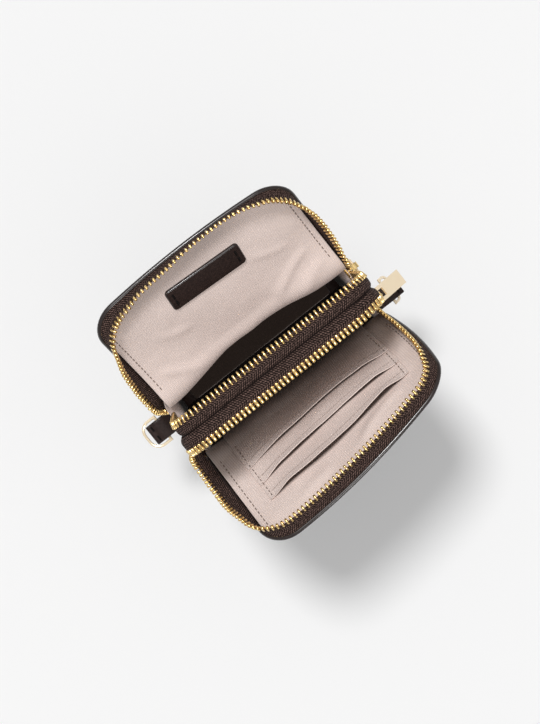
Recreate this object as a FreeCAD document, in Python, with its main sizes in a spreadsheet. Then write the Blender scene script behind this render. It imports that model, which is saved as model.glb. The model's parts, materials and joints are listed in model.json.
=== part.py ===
"""Phone pouch with two zip-around compartments, both shown unzipped with their flaps folded out.

Frame: X runs along the width towards the zip sliders, Y towards the rear, Z up. The pouch stands on Z = 0.
Every piece is drawn as it lies when the pouch is closed. The flap pieces are then turned out about the
folds, the pullers about their bars and the rings about theirs.
"""
import FreeCAD, Part
import math
import os

import Sketcher

App = FreeCAD
V = App.Vector

SIZES = {
    "pouch_width": (118, "width over the side gusset"),
    "pouch_height": (180, "height to the top of the panels"),
    "pouch_depth": (42, "depth over the two leather panels"),
    "top_radius": (15, "upper corners of the panels"),
    "base_radius": (10, "lower corners of the panels"),
    "fold_drop": (70, "from the top of a flap down to its fold"),
    "rear_open": (48, "degrees the rear flap is folded out"),
    "front_open": (44, "degrees the front flap is folded out"),
    "fold_gap": (1.5, "from the fold line down to the fixed panel"),
    "leather": (1.4, "leather thickness"),
    "lining": (0.6, "lining thickness"),
    "lining_inset": (3.6, "side of the pouch to the lining bag"),
    "piping": (0.9, "edge bead round each panel"),
    "piping_proud": (0.3, "edge bead standing out from the panel"),
    "board": (1.2, "base stiffener thickness"),
    "divider": (1.6, "divider core thickness"),
    "zip_tail": (18, "fold line down to the leather gusset"),
    "tape": (0.7, "zip tape thickness"),
    "tape_inset": (0.4, "zip tape behind the panel edge"),
    "tape_seam": (0.2, "gap between the two divider tapes"),
    "tooth_pitch": (2.6, "tooth spacing along a row"),
    "tooth_width": (1.2, "tooth along the row"),
    "tooth_height": (2.4, "tooth across the tape"),
    "tooth_grip": (1.4, "tooth clamped over the tape"),
    "tooth_reach": (1.9, "tooth beyond the tape edge"),
    "chain_gap": (1.3, "between facing rows of a closed, undrawn zip"),
    "slider_length": (11, "slider along the chain"),
    "slider_plate": (1.1, "slider plate thickness"),
    "slider_play": (0.2, "slider channel round the teeth"),
    "slider_lip": (0.7, "slider side flange"),
    "slider_corner": (2.6, "slider plate corners at its mouth"),
    "slider_rim": (0.45, "broken rims of the slider plates"),
    "slider_post": (3.4, "post between the plates, along the chain"),
    "stop_length": (2.4, "zip stop along the chain"),
    "crown_width": (3.0, "strap over the slider"),
    "crown_strap": (0.9, "thickness of that strap"),
    "crown_room": (2.1, "height under that strap"),
    "crown_length": (7.4, "length of that strap"),
    "crown_bend": (2.0, "outer bends of that strap"),
    "puller_length": (19, "bar to tip"),
    "puller_width": (8.4, "puller across"),
    "puller_thickness": (1.3, "puller plate and bar"),
    "front_puller_lift": (60, "degrees the front puller stands out from hanging"),
    "ring_wire": (1.6, "strap ring wire"),
    "ring_width": (13.4, "inside the strap ring, along its bar"),
    "ring_depth": (8.6, "inside the strap ring, away from its bar"),
    "ring_bend": (5.6, "bends of the ring's bow, at the wire's middle"),
    "ring_play": (0.05, "ring bar in its leather loop"),
    "left_ring_lift": (78, "degrees the left ring stands out from hanging"),
    "right_ring_lift": (28, "degrees the right ring stands out from hanging"),
    "tab_width": (11.4, "leather loop across"),
    "tab_reach": (10, "side of the pouch to the ring bar"),
    "tab_drop": (18, "top of the gusset down to the ring bar"),
    "left_tab_offset": (4.5, "left loop behind the centre plane"),
    "right_tab_offset": (13, "right loop before the centre plane"),
    "slot_width": (89, "card slots across"),
    "slot_rise": (19, "fold line up to the lowest hem"),
    "slot_step": (11.3, "hem to hem"),
    "slot_layer": (0.6, "card slot cloth"),
    "slot_foot": (40, "fold line down to the foot of the slots"),
    "label_length": (44.5, "label plate along the flap"),
    "label_height": (12.7, "label plate down the flap"),
    "label_thickness": (1.4, "label plate"),
    "label_drop": (24, "top of the rear flap to the plate's middle"),
}


class Size:
    """A dimension that carries both its number and the sheet formula it comes from."""

    def __init__(self, number, formula):
        self.number = float(number)
        self.formula = formula

    def __add__(self, other):
        other = as_size(other)
        return Size(self.number + other.number, f"({self.formula} + {other.formula})")

    def __sub__(self, other):
        other = as_size(other)
        return Size(self.number - other.number, f"({self.formula} - {other.formula})")

    def __mul__(self, other):
        other = as_size(other)
        return Size(self.number * other.number, f"({self.formula} * {other.formula})")

    def __truediv__(self, other):
        other = as_size(other)
        return Size(self.number / other.number, f"({self.formula} / {other.formula})")

    def __neg__(self):
        return self * -1


def as_size(value):
    """Wrap a plain number so that it can stand in a formula."""
    if isinstance(value, Size):
        return value
    return Size(value, f"({value})")


doc = App.newDocument("PhonePouch")
sheet = doc.addObject("Spreadsheet::Sheet", "Sizes")
for row, (alias, (number, note)) in enumerate(SIZES.items(), start=1):
    sheet.set(f"A{row}", note)
    sheet.set(f"B{row}", str(number))
    sheet.setAlias(f"B{row}", alias)
doc.recompute()


def size(alias):
    """The named dimension from the sheet."""
    return Size(sheet.get(alias), f"Sizes.{alias}")


# Planes and lines that many pieces share
half_width = size("pouch_width") / 2
half_depth = size("pouch_depth") / 2
top_z = size("pouch_height")
fold_z = top_z - size("fold_drop")
panel_top = fold_z - size("fold_gap")
gusset_top = fold_z - size("zip_tail")
leather = size("leather")
lining = size("lining")
panel_face = half_depth - leather
fold_y = half_depth - leather / 2
tape_outer = size("tape_inset")
tape_inner = tape_outer + size("tape")
chain_inset = tape_outer + size("tape") / 2
tape_start = size("tape_seam") / 2
tape_width = (panel_face - tape_start - size("chain_gap") - size("tooth_reach") * 2) / 2
chain_y = tape_start + tape_width + size("tooth_reach") + size("chain_gap") / 2
divider_face = size("divider") / 2
floor_z = leather + size("board")
lining_top = fold_z - size("fold_gap") * 2


def bind(thing, **formulas):
    """Tie each named property of a document object to its formula."""
    for name, formula in formulas.items():
        thing.setExpression(name.replace("__", "."), as_size(formula).formula)


def origin_plane(body, role):
    """One of a body's own three planes."""
    return next(f for f in body.Origin.OriginFeatures if f.Role == role)


def new_body(label):
    """An empty body that carries a piece's name."""
    body = doc.addObject("PartDesign::Body", label)
    body.Label = label
    return body


def new_sketch(body, role, name, offset, turn=0):
    """A sketch on one of the body's planes, moved along the plane's normal and turned about it."""
    sketch = body.newObject("Sketcher::SketchObject", f"{body.Name}_{name}")
    sketch.AttachmentSupport = [(origin_plane(body, role), "")]
    sketch.MapMode = "FlatFace"
    sketch.AttachmentOffset = App.Placement(V(0, 0, 0), App.Rotation(V(0, 0, 1), turn))
    bind(sketch, AttachmentOffset__Base__z=offset)
    return sketch


def dimension(sketch, kind, places, amount):
    """Add a measured constraint and tie it to its formula."""
    index = sketch.addConstraint(Sketcher.Constraint(kind, *places, amount.number))
    sketch.setExpression(f"Constraints[{index}]", amount.formula)


def rounded_outline(sketch, half, low, high, low_radius=None, high_radius=None):
    """Draw a closed outline, mirrored about the vertical axis, with its upper or lower corners rounded.

    The edges run right along the bottom, up, left along the top and down.
    """
    corners = [(-1, low, low_radius), (1, low, low_radius), (1, high, high_radius), (-1, high, high_radius)]
    spots = [V(side * half.number, level.number, 0) for side, level, radius in corners]
    cuts = [radius.number if radius else 0.0 for side, level, radius in corners]
    steps = [V(1, 0, 0), V(0, 1, 0), V(-1, 0, 0), V(0, -1, 0)]
    edges = []
    for i, step in enumerate(steps):
        after = (i + 1) % 4
        start = spots[i] + step * cuts[i]
        end = spots[after] - step * cuts[after]
        edges.append(sketch.addGeometry(Part.LineSegment(start, end)))
        sketch.addConstraint(Sketcher.Constraint("Horizontal" if i % 2 == 0 else "Vertical", edges[i]))
    arcs = {}
    for i, (side, level, radius) in enumerate(corners):
        before = edges[i - 1]
        if radius is None:
            sketch.addConstraint(Sketcher.Constraint("Coincident", before, 2, edges[i], 1))
            continue
        middle = spots[i] + (steps[i] - steps[i - 1]) * cuts[i]
        first = math.radians(180 + 90 * i)
        circle = Part.Circle(middle, V(0, 0, 1), cuts[i])
        arcs[i] = sketch.addGeometry(Part.ArcOfCircle(circle, first, first + math.pi / 2))
        sketch.addConstraint(Sketcher.Constraint("Tangent", before, 2, arcs[i], 1))
        sketch.addConstraint(Sketcher.Constraint("Tangent", arcs[i], 2, edges[i], 1))
    for left, right, radius in ((0, 1, low_radius), (3, 2, high_radius)):
        if radius is not None:
            dimension(sketch, "Radius", (arcs[left],), radius)
            sketch.addConstraint(Sketcher.Constraint("Equal", arcs[left], arcs[right]))
    dimension(sketch, "DistanceX", (-1, 1, edges[1], 1), half)
    dimension(sketch, "DistanceX", (edges[3], 1, -1, 1), half)
    for edge, level in ((edges[0], low), (edges[2], high)):
        if level.number == 0:
            sketch.addConstraint(Sketcher.Constraint("PointOnObject", edge, 1, -1))
        else:
            dimension(sketch, "DistanceY", (-1, 1, edge, 1), level)


def pad(body, sketch, length, reverse=False, feature="PartDesign::Pad"):
    """Raise (or sink) a sketch along its plane's normal, or against it."""
    step = body.newObject(feature, f"{sketch.Name}_step")
    step.Profile = sketch
    step.Reversed = reverse
    bind(step, Length=length)
    sketch.Visibility = False
    return step


def wall(label, side, near, far, half, low, high, low_radius=None, high_radius=None):
    """An upright sheet between two distances from the centre plane, on the rear (1) or front (-1) side."""
    body = new_body(label)
    start = near if side > 0 else -far
    sketch = new_sketch(body, "XZ_Plane", "outline", -start)
    rounded_outline(sketch, half, low, high, low_radius, high_radius)
    pad(body, sketch, far - near, reverse=True)
    return body


def arch_band(label, side, near, far, inset, thickness, low):
    """A strip that follows a panel's edge up one side, over the top and down the other side."""
    body = wall(label, side, near, far, half_width - inset, low, top_z - inset,
                high_radius=size("top_radius") - inset)
    inner = inset + thickness
    start = near if side > 0 else -far
    sketch = new_sketch(body, "XZ_Plane", "inside", -start)
    rounded_outline(sketch, half_width - inner, low - thickness, top_z - inner,
                    high_radius=size("top_radius") - inner)
    pad(body, sketch, far - near, reverse=False, feature="PartDesign::Pocket")
    return body


def cradle_band(label, side, near, far, thickness, high):
    """A strip that follows a panel's edge down one side, under the base and up the other side."""
    body = wall(label, side, near, far, half_width, as_size(0), high, low_radius=size("base_radius"))
    start = near if side > 0 else -far
    sketch = new_sketch(body, "XZ_Plane", "inside", -start)
    rounded_outline(sketch, half_width - thickness, thickness, high + thickness,
                    low_radius=size("base_radius") - thickness)
    pad(body, sketch, far - near, reverse=False, feature="PartDesign::Pocket")
    return body


def box(label, low, high):
    """A plain block between two opposite corners."""
    block = doc.addObject("Part::Box", label)
    block.Label = label
    bind(block, Length=high[0] - low[0], Width=high[1] - low[1], Height=high[2] - low[2],
         Placement__Base__x=low[0], Placement__Base__y=low[1], Placement__Base__z=low[2])
    return block


def group(label, members):
    """Several separate solids that share one name."""
    bundle = doc.addObject("Part::Compound", label)
    bundle.Label = label
    bundle.Links = members
    return bundle


pieces = []


def keep(*made):
    """Count pieces in for writing out."""
    pieces.extend(made)
    return made[0] if len(made) == 1 else made


# Leather shell below the folds
gusset = keep(cradle_band("base_gusset", 1, -panel_face, panel_face, leather, gusset_top))
bead = size("piping")
for name, side in (("rear", 1), ("front", -1)):
    keep(wall(f"{name}_panel", side, panel_face, half_depth, half_width - bead, bead, panel_top,
              low_radius=size("base_radius") - bead))
    keep(cradle_band(f"{name}_panel_piping", side, panel_face, half_depth + size("piping_proud"), bead,
                     panel_top))

# Lining bags, one per compartment, and the stiff boards under them
bag_half = half_width - size("lining_inset")
board_half = half_width - size("base_radius") - 2
for name, side in (("rear", 1), ("front", -1)):
    bag = wall(f"{name}_lining", side, divider_face, panel_face, bag_half, floor_z, lining_top,
               low_radius=size("base_radius") - leather)
    doc.recompute()
    mouth = max(range(len(bag.Shape.Faces)), key=lambda i: bag.Shape.Faces[i].CenterOfMass.z)
    shell = bag.newObject("PartDesign::Thickness", f"{name}_lining_shell")
    shell.Base = (bag.Tip if bag.Tip is not shell else shell.BaseFeature, [f"Face{mouth + 1}"])
    shell.Reversed = True
    bind(shell, Value=lining)
    bag.Tip = shell
    keep(bag)
    near, far = divider_face + 0.2, panel_face - 0.2
    low_y, high_y = (near, far) if side > 0 else (-far, -near)
    keep(box(f"{name}_base_board", (-board_half, low_y, leather), (board_half, high_y, floor_z)))

# Middle wall: a core that reaches the gusset all round, faced with lining above the bags
keep(wall("divider_board", 1, -divider_face, divider_face, half_width - leather, leather, top_z - leather,
          size("base_radius") - leather, size("top_radius") - leather))
facing_inset = size("lining_inset")
for name, side in (("rear", 1), ("front", -1)):
    keep(wall(f"divider_{name}_facing", side, divider_face, divider_face + lining, half_width - facing_inset,
              lining_top + 0.3, top_z - facing_inset, high_radius=size("top_radius") - facing_inset))

# Zip tapes: two along the divider, and the short fixed ends of the two outer ones
tape_end = tape_start + tape_width
outer_tape_start = panel_face - tape_width
tail_top = fold_z - 3
for name, side in (("rear", 1), ("front", -1)):
    keep(arch_band(f"divider_{name}_tape", side, tape_start, tape_end, tape_outer, size("tape"),
                   gusset_top + 0.15))
    low_y, high_y = (outer_tape_start, panel_face) if side > 0 else (-panel_face, -outer_tape_start)
    ends = []
    for end, outward in (("left", -1), ("right", 1)):
        near_x, far_x = half_width - tape_inner, half_width - tape_outer
        low_x, high_x = (near_x, far_x) if outward > 0 else (-far_x, -near_x)
        ends.append(box(f"{name}_{end}_tail_tape", (low_x, low_y, gusset_top + 0.15),
                        (high_x, high_y, tail_top)))
    keep(group(f"{name}_tail_tapes", ends))


def tooth_solid(towards):
    """One metal tooth, two legs pinched over the edge of a tape, pointing along +Y (1) or -Y (-1)."""
    grip, reach = size("tooth_grip").number, size("tooth_reach").number
    leg, head = size("tooth_height").number / 2, size("tooth_height").number * 0.36
    crotch = reach * 0.45
    width = size("tooth_width").number
    profile = [(-grip, leg), (crotch, 0), (-grip, -leg), (reach, -head), (reach, head)]
    corners = [V(-width / 2, towards * along, across) for along, across in profile]
    face = Part.Face(Part.makePolygon(corners + corners[:1]))
    return face.extrude(V(width, 0, 0))


def row_places(shift):
    """Where the teeth of one row stand: X, Z and the turn about Y, from the left end to the right."""
    inset = chain_inset.number
    half, top = half_width.number - inset, top_z.number - inset
    radius = size("top_radius").number - inset
    start = gusset_top.number + size("stop_length").number + 1.4
    leg, bend = top - radius - start, radius * math.pi / 2
    flat = half - radius
    pitch = size("tooth_pitch").number
    reach = flat + bend + leg
    count = int(reach / pitch - shift)
    places = []
    for i in range(-count - 1, count + 2):
        along = (i + shift) * pitch
        side = 1 if along > 0 else -1
        rest = abs(along)
        if rest > reach:
            continue
        if rest <= flat:
            places.append((along, top, 0.0))
        elif rest <= flat + bend:
            angle = (rest - flat) / radius
            x = flat + radius * math.sin(angle)
            z = top - radius + radius * math.cos(angle)
            places.append((side * x, z, side * math.degrees(angle)))
        else:
            z = top - radius - (rest - flat - bend)
            places.append((side * half, z, side * 90.0))
    return places


def tooth_row(label, places, root_y, towards):
    """A row of separate teeth clamped on the edge of a tape."""
    tooth = tooth_solid(towards)
    turned = []
    for x, z, angle in places:
        one = tooth.copy()
        one.Placement = App.Placement(V(x, root_y, z), App.Rotation(V(0, 1, 0), angle))
        turned.append(one)
    row = doc.addObject("Part::Feature", label)
    row.Label = label
    row.Shape = Part.makeCompound(turned)
    return row


outer_rows = {}
for name, side in (("rear", 1), ("front", -1)):
    keep(tooth_row(f"divider_{name}_teeth", row_places(0.0), side * tape_end.number, side))
    facing = row_places(0.5)
    room = size("tooth_width").number / 2 + 0.3
    tail = [place for place in facing if place[1] < tail_top.number - room]
    loose = [place for place in facing if place[1] > fold_z.number + 1 + room]
    keep(tooth_row(f"{name}_tail_teeth", tail, side * outer_tape_start.number, -side))
    outer_rows[name] = keep(
        tooth_row(f"{name}_flap_teeth", loose, side * outer_tape_start.number, -side))

# Zip stops: a clamp across both rows at the foot of each chain
stop_low = gusset_top + 0.4
stop_half = size("chain_gap") / 2 + size("tooth_reach") - 0.05
for name, side in (("rear", 1), ("front", -1)):
    stops = []
    for end, outward in (("left", -1), ("right", 1)):
        middle_x = (half_width - chain_inset) * outward
        middle_y = chain_y * side
        deep = size("tooth_height") / 2
        stops.append(box(f"{name}_{end}_stop", (middle_x - deep, middle_y - stop_half, stop_low),
                         (middle_x + deep, middle_y + stop_half, stop_low + size("stop_length"))))
    keep(group(f"{name}_zip_stops", stops))

# Flaps, drawn shut: leather with a round hem on the fold line, edge bead, lining and zip tape
flaps = {"rear": [outer_rows["rear"]], "front": [outer_rows["front"]]}
for name, side in (("rear", 1), ("front", -1)):
    skin = wall(f"{name}_flap_leather", side, panel_face, half_depth, half_width - bead, fold_z,
                top_z - bead, high_radius=size("top_radius") - bead)
    hem = skin.newObject("PartDesign::AdditiveCylinder", f"{name}_flap_hem")
    hem.AttachmentSupport = [(origin_plane(skin, "YZ_Plane"), "")]
    hem.MapMode = "FlatFace"
    bind(hem, Radius=leather / 2, Height=(half_width - bead) * 2, AttachmentOffset__Base__x=fold_y * side,
         AttachmentOffset__Base__y=fold_z, AttachmentOffset__Base__z=bead - half_width)
    skin.Tip = hem
    edge = arch_band(f"{name}_flap_piping", side, panel_face, half_depth + size("piping_proud"), as_size(0),
                     bead, fold_z + 1)
    inset = tape_inner + 0.4
    inside = wall(f"{name}_flap_lining", side, panel_face - lining, panel_face, half_width - inset,
                  fold_z + 1, top_z - inset, high_radius=size("top_radius") - inset)
    tape = arch_band(f"{name}_flap_tape", side, outer_tape_start, panel_face, tape_outer, size("tape"),
                     fold_z + 1)
    flaps[name] += keep(skin, edge, inside, tape)

# Bare leather plate on the rear flap's lining
lining_face = panel_face - lining
label_z = top_z - size("label_drop")
plate = wall("label_plate", 1, lining_face - size("label_thickness"), lining_face,
             size("label_length") / 2, label_z - size("label_height") / 2,
             label_z + size("label_height") / 2, as_size(2.2), as_size(2.2))
flaps["rear"].append(keep(plate))

# Three card slots on the front flap's lining, each a layer nearer the middle and a step lower
slot_half = size("slot_width") / 2
layer = size("slot_layer")
for step, name in enumerate(("upper", "middle", "lower")):
    outer = lining_face - layer * step
    hem_z = fold_z + size("slot_rise") + size("slot_step") * (2 - step)
    pocket = box(f"card_pocket_{name}", (-slot_half, -outer, fold_z + 1), (slot_half, layer - outer, hem_z))
    flaps["front"].append(keep(pocket))
foot_low = fold_z - size("slot_foot")
keep(box("card_pocket_foot", (-slot_half, -lining_face, foot_low),
         (slot_half, layer * 3 - lining_face, lining_top - 0.5)))


def fused(label, solids):
    """Several document solids joined into one piece."""
    join = doc.addObject("Part::MultiFuse", label)
    join.Label = label
    join.Shapes = solids
    join.Refine = True
    return join


def hollow(body, role, name, offset, depth, outline, reverse=False):
    """Sink a straight recess with the given outline into a body."""
    sketch = new_sketch(body, role, name, offset)
    rounded_outline(sketch, *outline)
    pad(body, sketch, depth, reverse=reverse, feature="PartDesign::Pocket")


def soften(body, name, breadth, ends):
    """Break the rims of the faces that come first or last along X."""
    doc.recompute()
    faces = body.Shape.Faces
    order = sorted(range(len(faces)), key=lambda i: faces[i].CenterOfMass.x)
    before = body.Tip
    step = body.newObject("PartDesign::Chamfer", name)
    step.Base = (before, [f"Face{order[i] + 1}" for i in ends])
    bind(step, Size=breadth)
    body.Tip = step


# Sliders: two rounded plates joined by a post at the mouth, with side flanges that hold the rows in
slider_half = size("chain_gap") / 2 + size("tooth_reach") + size("tooth_grip") + size("slider_play")
slider_edge = slider_half + size("slider_lip")
channel = size("tooth_height") / 2 + size("slider_play")
slider_deep = channel + size("slider_plate")
slit = size("tape") / 2 + size("slider_play") * 1.5
post_half = size("chain_gap") / 2 - size("slider_play")
slider_low = stop_low + size("stop_length") + 0.4
slider_z = slider_low + size("slider_length") / 2
chain_x = half_width - chain_inset
plate_x = chain_x + slider_deep
bar_x = plate_x + size("crown_room") / 2
mouth_z = size("slider_length") - size("slider_post")
for name, side in (("rear", 1), ("front", -1)):
    body = new_body(f"{name}_slider")
    bind(body, Placement__Base__x=chain_x, Placement__Base__y=chain_y * side, Placement__Base__z=slider_low)
    outline = new_sketch(body, "YZ_Plane", "outline", -slider_deep)
    rounded_outline(outline, slider_edge, as_size(0), size("slider_length"),
                    high_radius=size("slider_corner"))
    pad(body, outline, slider_deep * 2)
    soften(body, f"{name}_slider_rims", size("slider_rim"), (0, -1))
    over = slider_edge + size("slider_lip")
    for way, low, high in (("a", post_half, slider_half), ("b", -slider_half, -post_half)):
        hollow(body, "XY_Plane", f"mouth_{way}", size("slider_length"), size("slider_post"),
               (channel, low, high))
    for way, low, high in (("a", post_half, over), ("b", -over, -post_half)):
        hollow(body, "XY_Plane", f"slit_{way}", size("slider_length"), size("slider_post"), (slit, low, high))
    hollow(body, "XY_Plane", "channel", as_size(0), mouth_z, (channel, -slider_half, slider_half), True)
    hollow(body, "XY_Plane", "slits", as_size(0), mouth_z, (slit, -over, over), True)
    keep(body)

    crown = new_body(f"{name}_slider_crown")
    bind(crown, Placement__Base__x=plate_x, Placement__Base__y=chain_y * side, Placement__Base__z=slider_z)
    crown_half, strap = size("crown_length") / 2, size("crown_strap")
    arch = new_sketch(crown, "XZ_Plane", "arch", size("crown_width") / 2, turn=-90)
    rounded_outline(arch, crown_half, as_size(0), size("crown_room") + strap, high_radius=size("crown_bend"))
    pad(crown, arch, size("crown_width"), reverse=True)
    room = new_sketch(crown, "XZ_Plane", "room", size("crown_width") / 2, turn=-90)
    rounded_outline(room, crown_half - strap, -strap, size("crown_room"), high_radius=size("crown_bend") - strap)
    pad(crown, room, size("crown_width"), reverse=False, feature="PartDesign::Pocket")
    keep(crown)

# Pullers: a flat plate with a window round the crown and a round bar under it, drawn hanging
pullers = {}
for name, side in (("rear", 1), ("front", -1)):
    body = new_body(f"{name}_puller")
    thickness = size("puller_thickness")
    outline = new_sketch(body, "YZ_Plane", "outline", -thickness / 2)
    rounded_outline(outline, size("puller_width") / 2, -size("puller_length"), as_size(0))
    pad(body, outline, thickness)
    window = new_sketch(body, "YZ_Plane", "window", -thickness / 2)
    rounded_outline(window, size("crown_width") / 2 + 0.7, -(size("crown_length") / 2 + 1.3),
                    -thickness / 2)
    pad(body, window, thickness, reverse=True, feature="PartDesign::Pocket")
    bar = body.newObject("PartDesign::AdditiveCylinder", f"{name}_puller_bar")
    bar.AttachmentSupport = [(origin_plane(body, "XZ_Plane"), "")]
    bar.MapMode = "FlatFace"
    bind(bar, Radius=thickness / 2, Height=size("puller_width"),
         AttachmentOffset__Base__z=-size("puller_width") / 2)
    body.Tip = bar
    pullers[name] = keep(body)

def eight_sided(sketch, radius):
    """Draw a regular eight-sided outline about the origin, inside the given radius."""
    circle = sketch.addGeometry(Part.Circle(V(0, 0, 0), V(0, 0, 1), radius.number), True)
    sketch.addConstraint(Sketcher.Constraint("Coincident", circle, 3, -1, 1))
    dimension(sketch, "Radius", (circle,), radius)
    turns = [math.radians(45 * i) for i in range(9)]
    spots = [V(radius.number * math.cos(turn), radius.number * math.sin(turn), 0) for turn in turns]
    edges = [sketch.addGeometry(Part.LineSegment(*ends)) for ends in zip(spots, spots[1:])]
    for i, edge in enumerate(edges):
        sketch.addConstraint(Sketcher.Constraint("Coincident", edges[i - 1], 2, edge, 1))
        sketch.addConstraint(Sketcher.Constraint("PointOnObject", edge, 1, circle))
        if i:
            sketch.addConstraint(Sketcher.Constraint("Equal", edges[0], edge))
    sketch.addConstraint(Sketcher.Constraint("PointOnObject", edges[0], 1, -1))


# Strap rings: a leather loop on each side holds the ring's straight bar
tab_z = gusset_top - size("tab_drop")
ring_hole = size("ring_wire") / 2 + size("ring_play")
tab_round = ring_hole + leather * 0.85
rings = {}
for name, outward, offset in (("left", -1, size("left_tab_offset")), ("right", 1, -size("right_tab_offset"))):
    bar_at = (half_width + size("tab_reach")) * outward
    wall_x = half_width * outward
    span = (wall_x, bar_at) if outward > 0 else (bar_at, wall_x)
    strip = box(f"{name}_tab_strip", (span[0], offset - size("tab_width") / 2, tab_z - leather),
                (span[1], offset + size("tab_width") / 2, tab_z + leather))
    rolls = []
    for word, radius in (("eye", tab_round), ("hole", ring_hole)):
        roll = doc.addObject("Part::Cylinder", f"{name}_tab_{word}")
        roll.Placement.Rotation = App.Rotation(V(1, 0, 0), 90)
        bind(roll, Radius=radius, Height=size("tab_width"), Placement__Base__x=bar_at,
             Placement__Base__y=offset + size("tab_width") / 2, Placement__Base__z=tab_z)
        rolls.append(roll)
    loop = doc.addObject("Part::Cut", f"{name}_ring_tab")
    loop.Label = f"{name}_ring_tab"
    loop.Base = fused(f"{name}_tab_leather", [strip, rolls[0]])
    loop.Tool = rolls[1]
    keep(loop)

    wire = size("ring_wire") / 2
    bar_half = size("ring_width") / 2 + wire
    drop = size("ring_depth") + wire * 2
    body = new_body(f"{name}_ring")
    path = new_sketch(body, "YZ_Plane", "path", as_size(0))
    rounded_outline(path, bar_half, -drop, as_size(0), low_radius=size("ring_bend"))
    section = new_sketch(body, "XZ_Plane", "section", as_size(0))
    eight_sided(section, wire)
    sweep = body.newObject("PartDesign::AdditivePipe", f"{name}_ring_wire")
    sweep.Profile = section
    sweep.Spine = (path, [""])
    sweep.Transition = "Right corner"
    rings[name] = (keep(body), bar_at, offset)

doc.recompute()

# Open the pouch: flaps turn out about their folds, the hardware takes its resting slant
for name, side in (("rear", 1), ("front", -1)):
    fold = V(0, side * fold_y.number, fold_z.number)
    turn = App.Rotation(V(1, 0, 0), -side * size(f"{name}_open").number)
    swing = App.Placement(V(0, 0, 0), turn, fold)
    for piece in flaps[name]:
        piece.recompute()
        if piece.TypeId == "Part::Box":
            piece.setExpression("Placement.Base.x", None)
            piece.setExpression("Placement.Base.y", None)
            piece.setExpression("Placement.Base.z", None)
        piece.Placement = swing * piece.Placement
    lift = size("front_puller_lift").number if name == "front" else 0
    pullers[name].Placement = App.Placement(V(bar_x.number, side * chain_y.number, slider_z.number),
                                            App.Rotation(V(0, 1, 0), -lift))
for name, (ring, bar_at, offset) in rings.items():
    lift = size(f"{name}_ring_lift").number * (1 if name == "left" else -1)
    ring.Placement = App.Placement(V(bar_at.number, offset.number, tab_z.number),
                                   App.Rotation(V(0, 1, 0), lift))
doc.recompute()

for thing in doc.Objects:
    if "Invalid" in thing.State or "Error" in thing.State:
        raise RuntimeError(f"{thing.Label} did not build: {thing.State}")
os.makedirs("parts", exist_ok=True)
for piece in pieces:
    if piece.Shape.isNull() or not piece.Shape.isValid():
        raise RuntimeError(f"{piece.Label} has no sound shape")
    piece.Shape.exportStep(f"parts/{piece.Label}.step")
print(f"wrote {len(pieces)} pieces")
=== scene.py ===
"""Phone pouch with two zip-around compartments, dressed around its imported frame.

Sizes are in millimetres in the frame's axes: X towards the zip sliders, Y towards the rear, Z up.
A flap's pieces are drawn as they lie when it is shut and then folded out about the fold.
"""
import json
import logging
import math
from dataclasses import dataclass, field
from enum import Enum
from typing import Callable, Iterable, Sequence

import bmesh
import bpy
from mathutils import Matrix, Vector, noise


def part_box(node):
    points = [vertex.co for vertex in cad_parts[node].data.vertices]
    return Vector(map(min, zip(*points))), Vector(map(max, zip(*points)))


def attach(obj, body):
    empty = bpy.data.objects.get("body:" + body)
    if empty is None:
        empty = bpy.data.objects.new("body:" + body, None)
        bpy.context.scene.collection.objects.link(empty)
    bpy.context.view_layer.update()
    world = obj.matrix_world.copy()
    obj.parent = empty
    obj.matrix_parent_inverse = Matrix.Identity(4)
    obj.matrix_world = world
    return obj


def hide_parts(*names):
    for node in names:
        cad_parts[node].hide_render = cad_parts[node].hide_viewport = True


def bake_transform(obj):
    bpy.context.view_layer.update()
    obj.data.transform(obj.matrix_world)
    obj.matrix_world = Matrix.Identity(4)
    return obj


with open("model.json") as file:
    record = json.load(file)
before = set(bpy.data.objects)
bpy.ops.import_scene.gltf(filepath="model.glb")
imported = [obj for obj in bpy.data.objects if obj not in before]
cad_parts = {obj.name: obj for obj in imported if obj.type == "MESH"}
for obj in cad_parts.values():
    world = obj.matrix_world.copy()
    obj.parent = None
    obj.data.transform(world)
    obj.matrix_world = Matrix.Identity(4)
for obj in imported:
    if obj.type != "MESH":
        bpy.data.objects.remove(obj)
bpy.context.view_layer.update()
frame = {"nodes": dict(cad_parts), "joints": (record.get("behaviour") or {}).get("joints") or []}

MM = 0.001
ZIP_INSET = 0.75
TAPE_WIDTH = 7.2

# How far a flap's zip leans in, in degrees, at shares of the way from the middle of the top to the fold.
REAR_LEAN = (
    (-1.15, -2), (-1.1, -18), (-1.05, -38), (-1, -52), (-0.9, -53), (-0.8, -42), (-0.7, -27), (-0.6, -3),
    (-0.55, 13), (-0.48, 34), (-0.41, 38), (-0.35, 16), (-0.3, 3), (-0.25, -8), (-0.1, -14), (0, -24),
    (0.2, -31), (0.3, -21), (0.35, -7), (0.4, 9), (0.45, 20), (0.5, 19), (0.55, 9), (0.6, -8), (0.7, -22),
    (0.8, -22), (0.9, -15), (1, -5), (1.15, -4))
FRONT_LEAN = (
    (-1.15, -5), (-1.1, -30), (-1.05, -54), (-1, -68), (-0.9, -72), (-0.78, -75), (-0.7, -62), (-0.65, -47),
    (-0.6, -35), (-0.55, -22), (-0.5, -2), (-0.45, 14), (-0.4, 25), (-0.3, 24), (-0.2, 27), (-0.1, 32),
    (0, 35), (0.15, 34), (0.35, 33), (0.45, 38), (0.52, 38), (0.57, 32), (0.62, 23), (0.75, 19), (0.9, 18),
    (1, 13), (1.06, 3), (1.15, 0))

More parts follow.
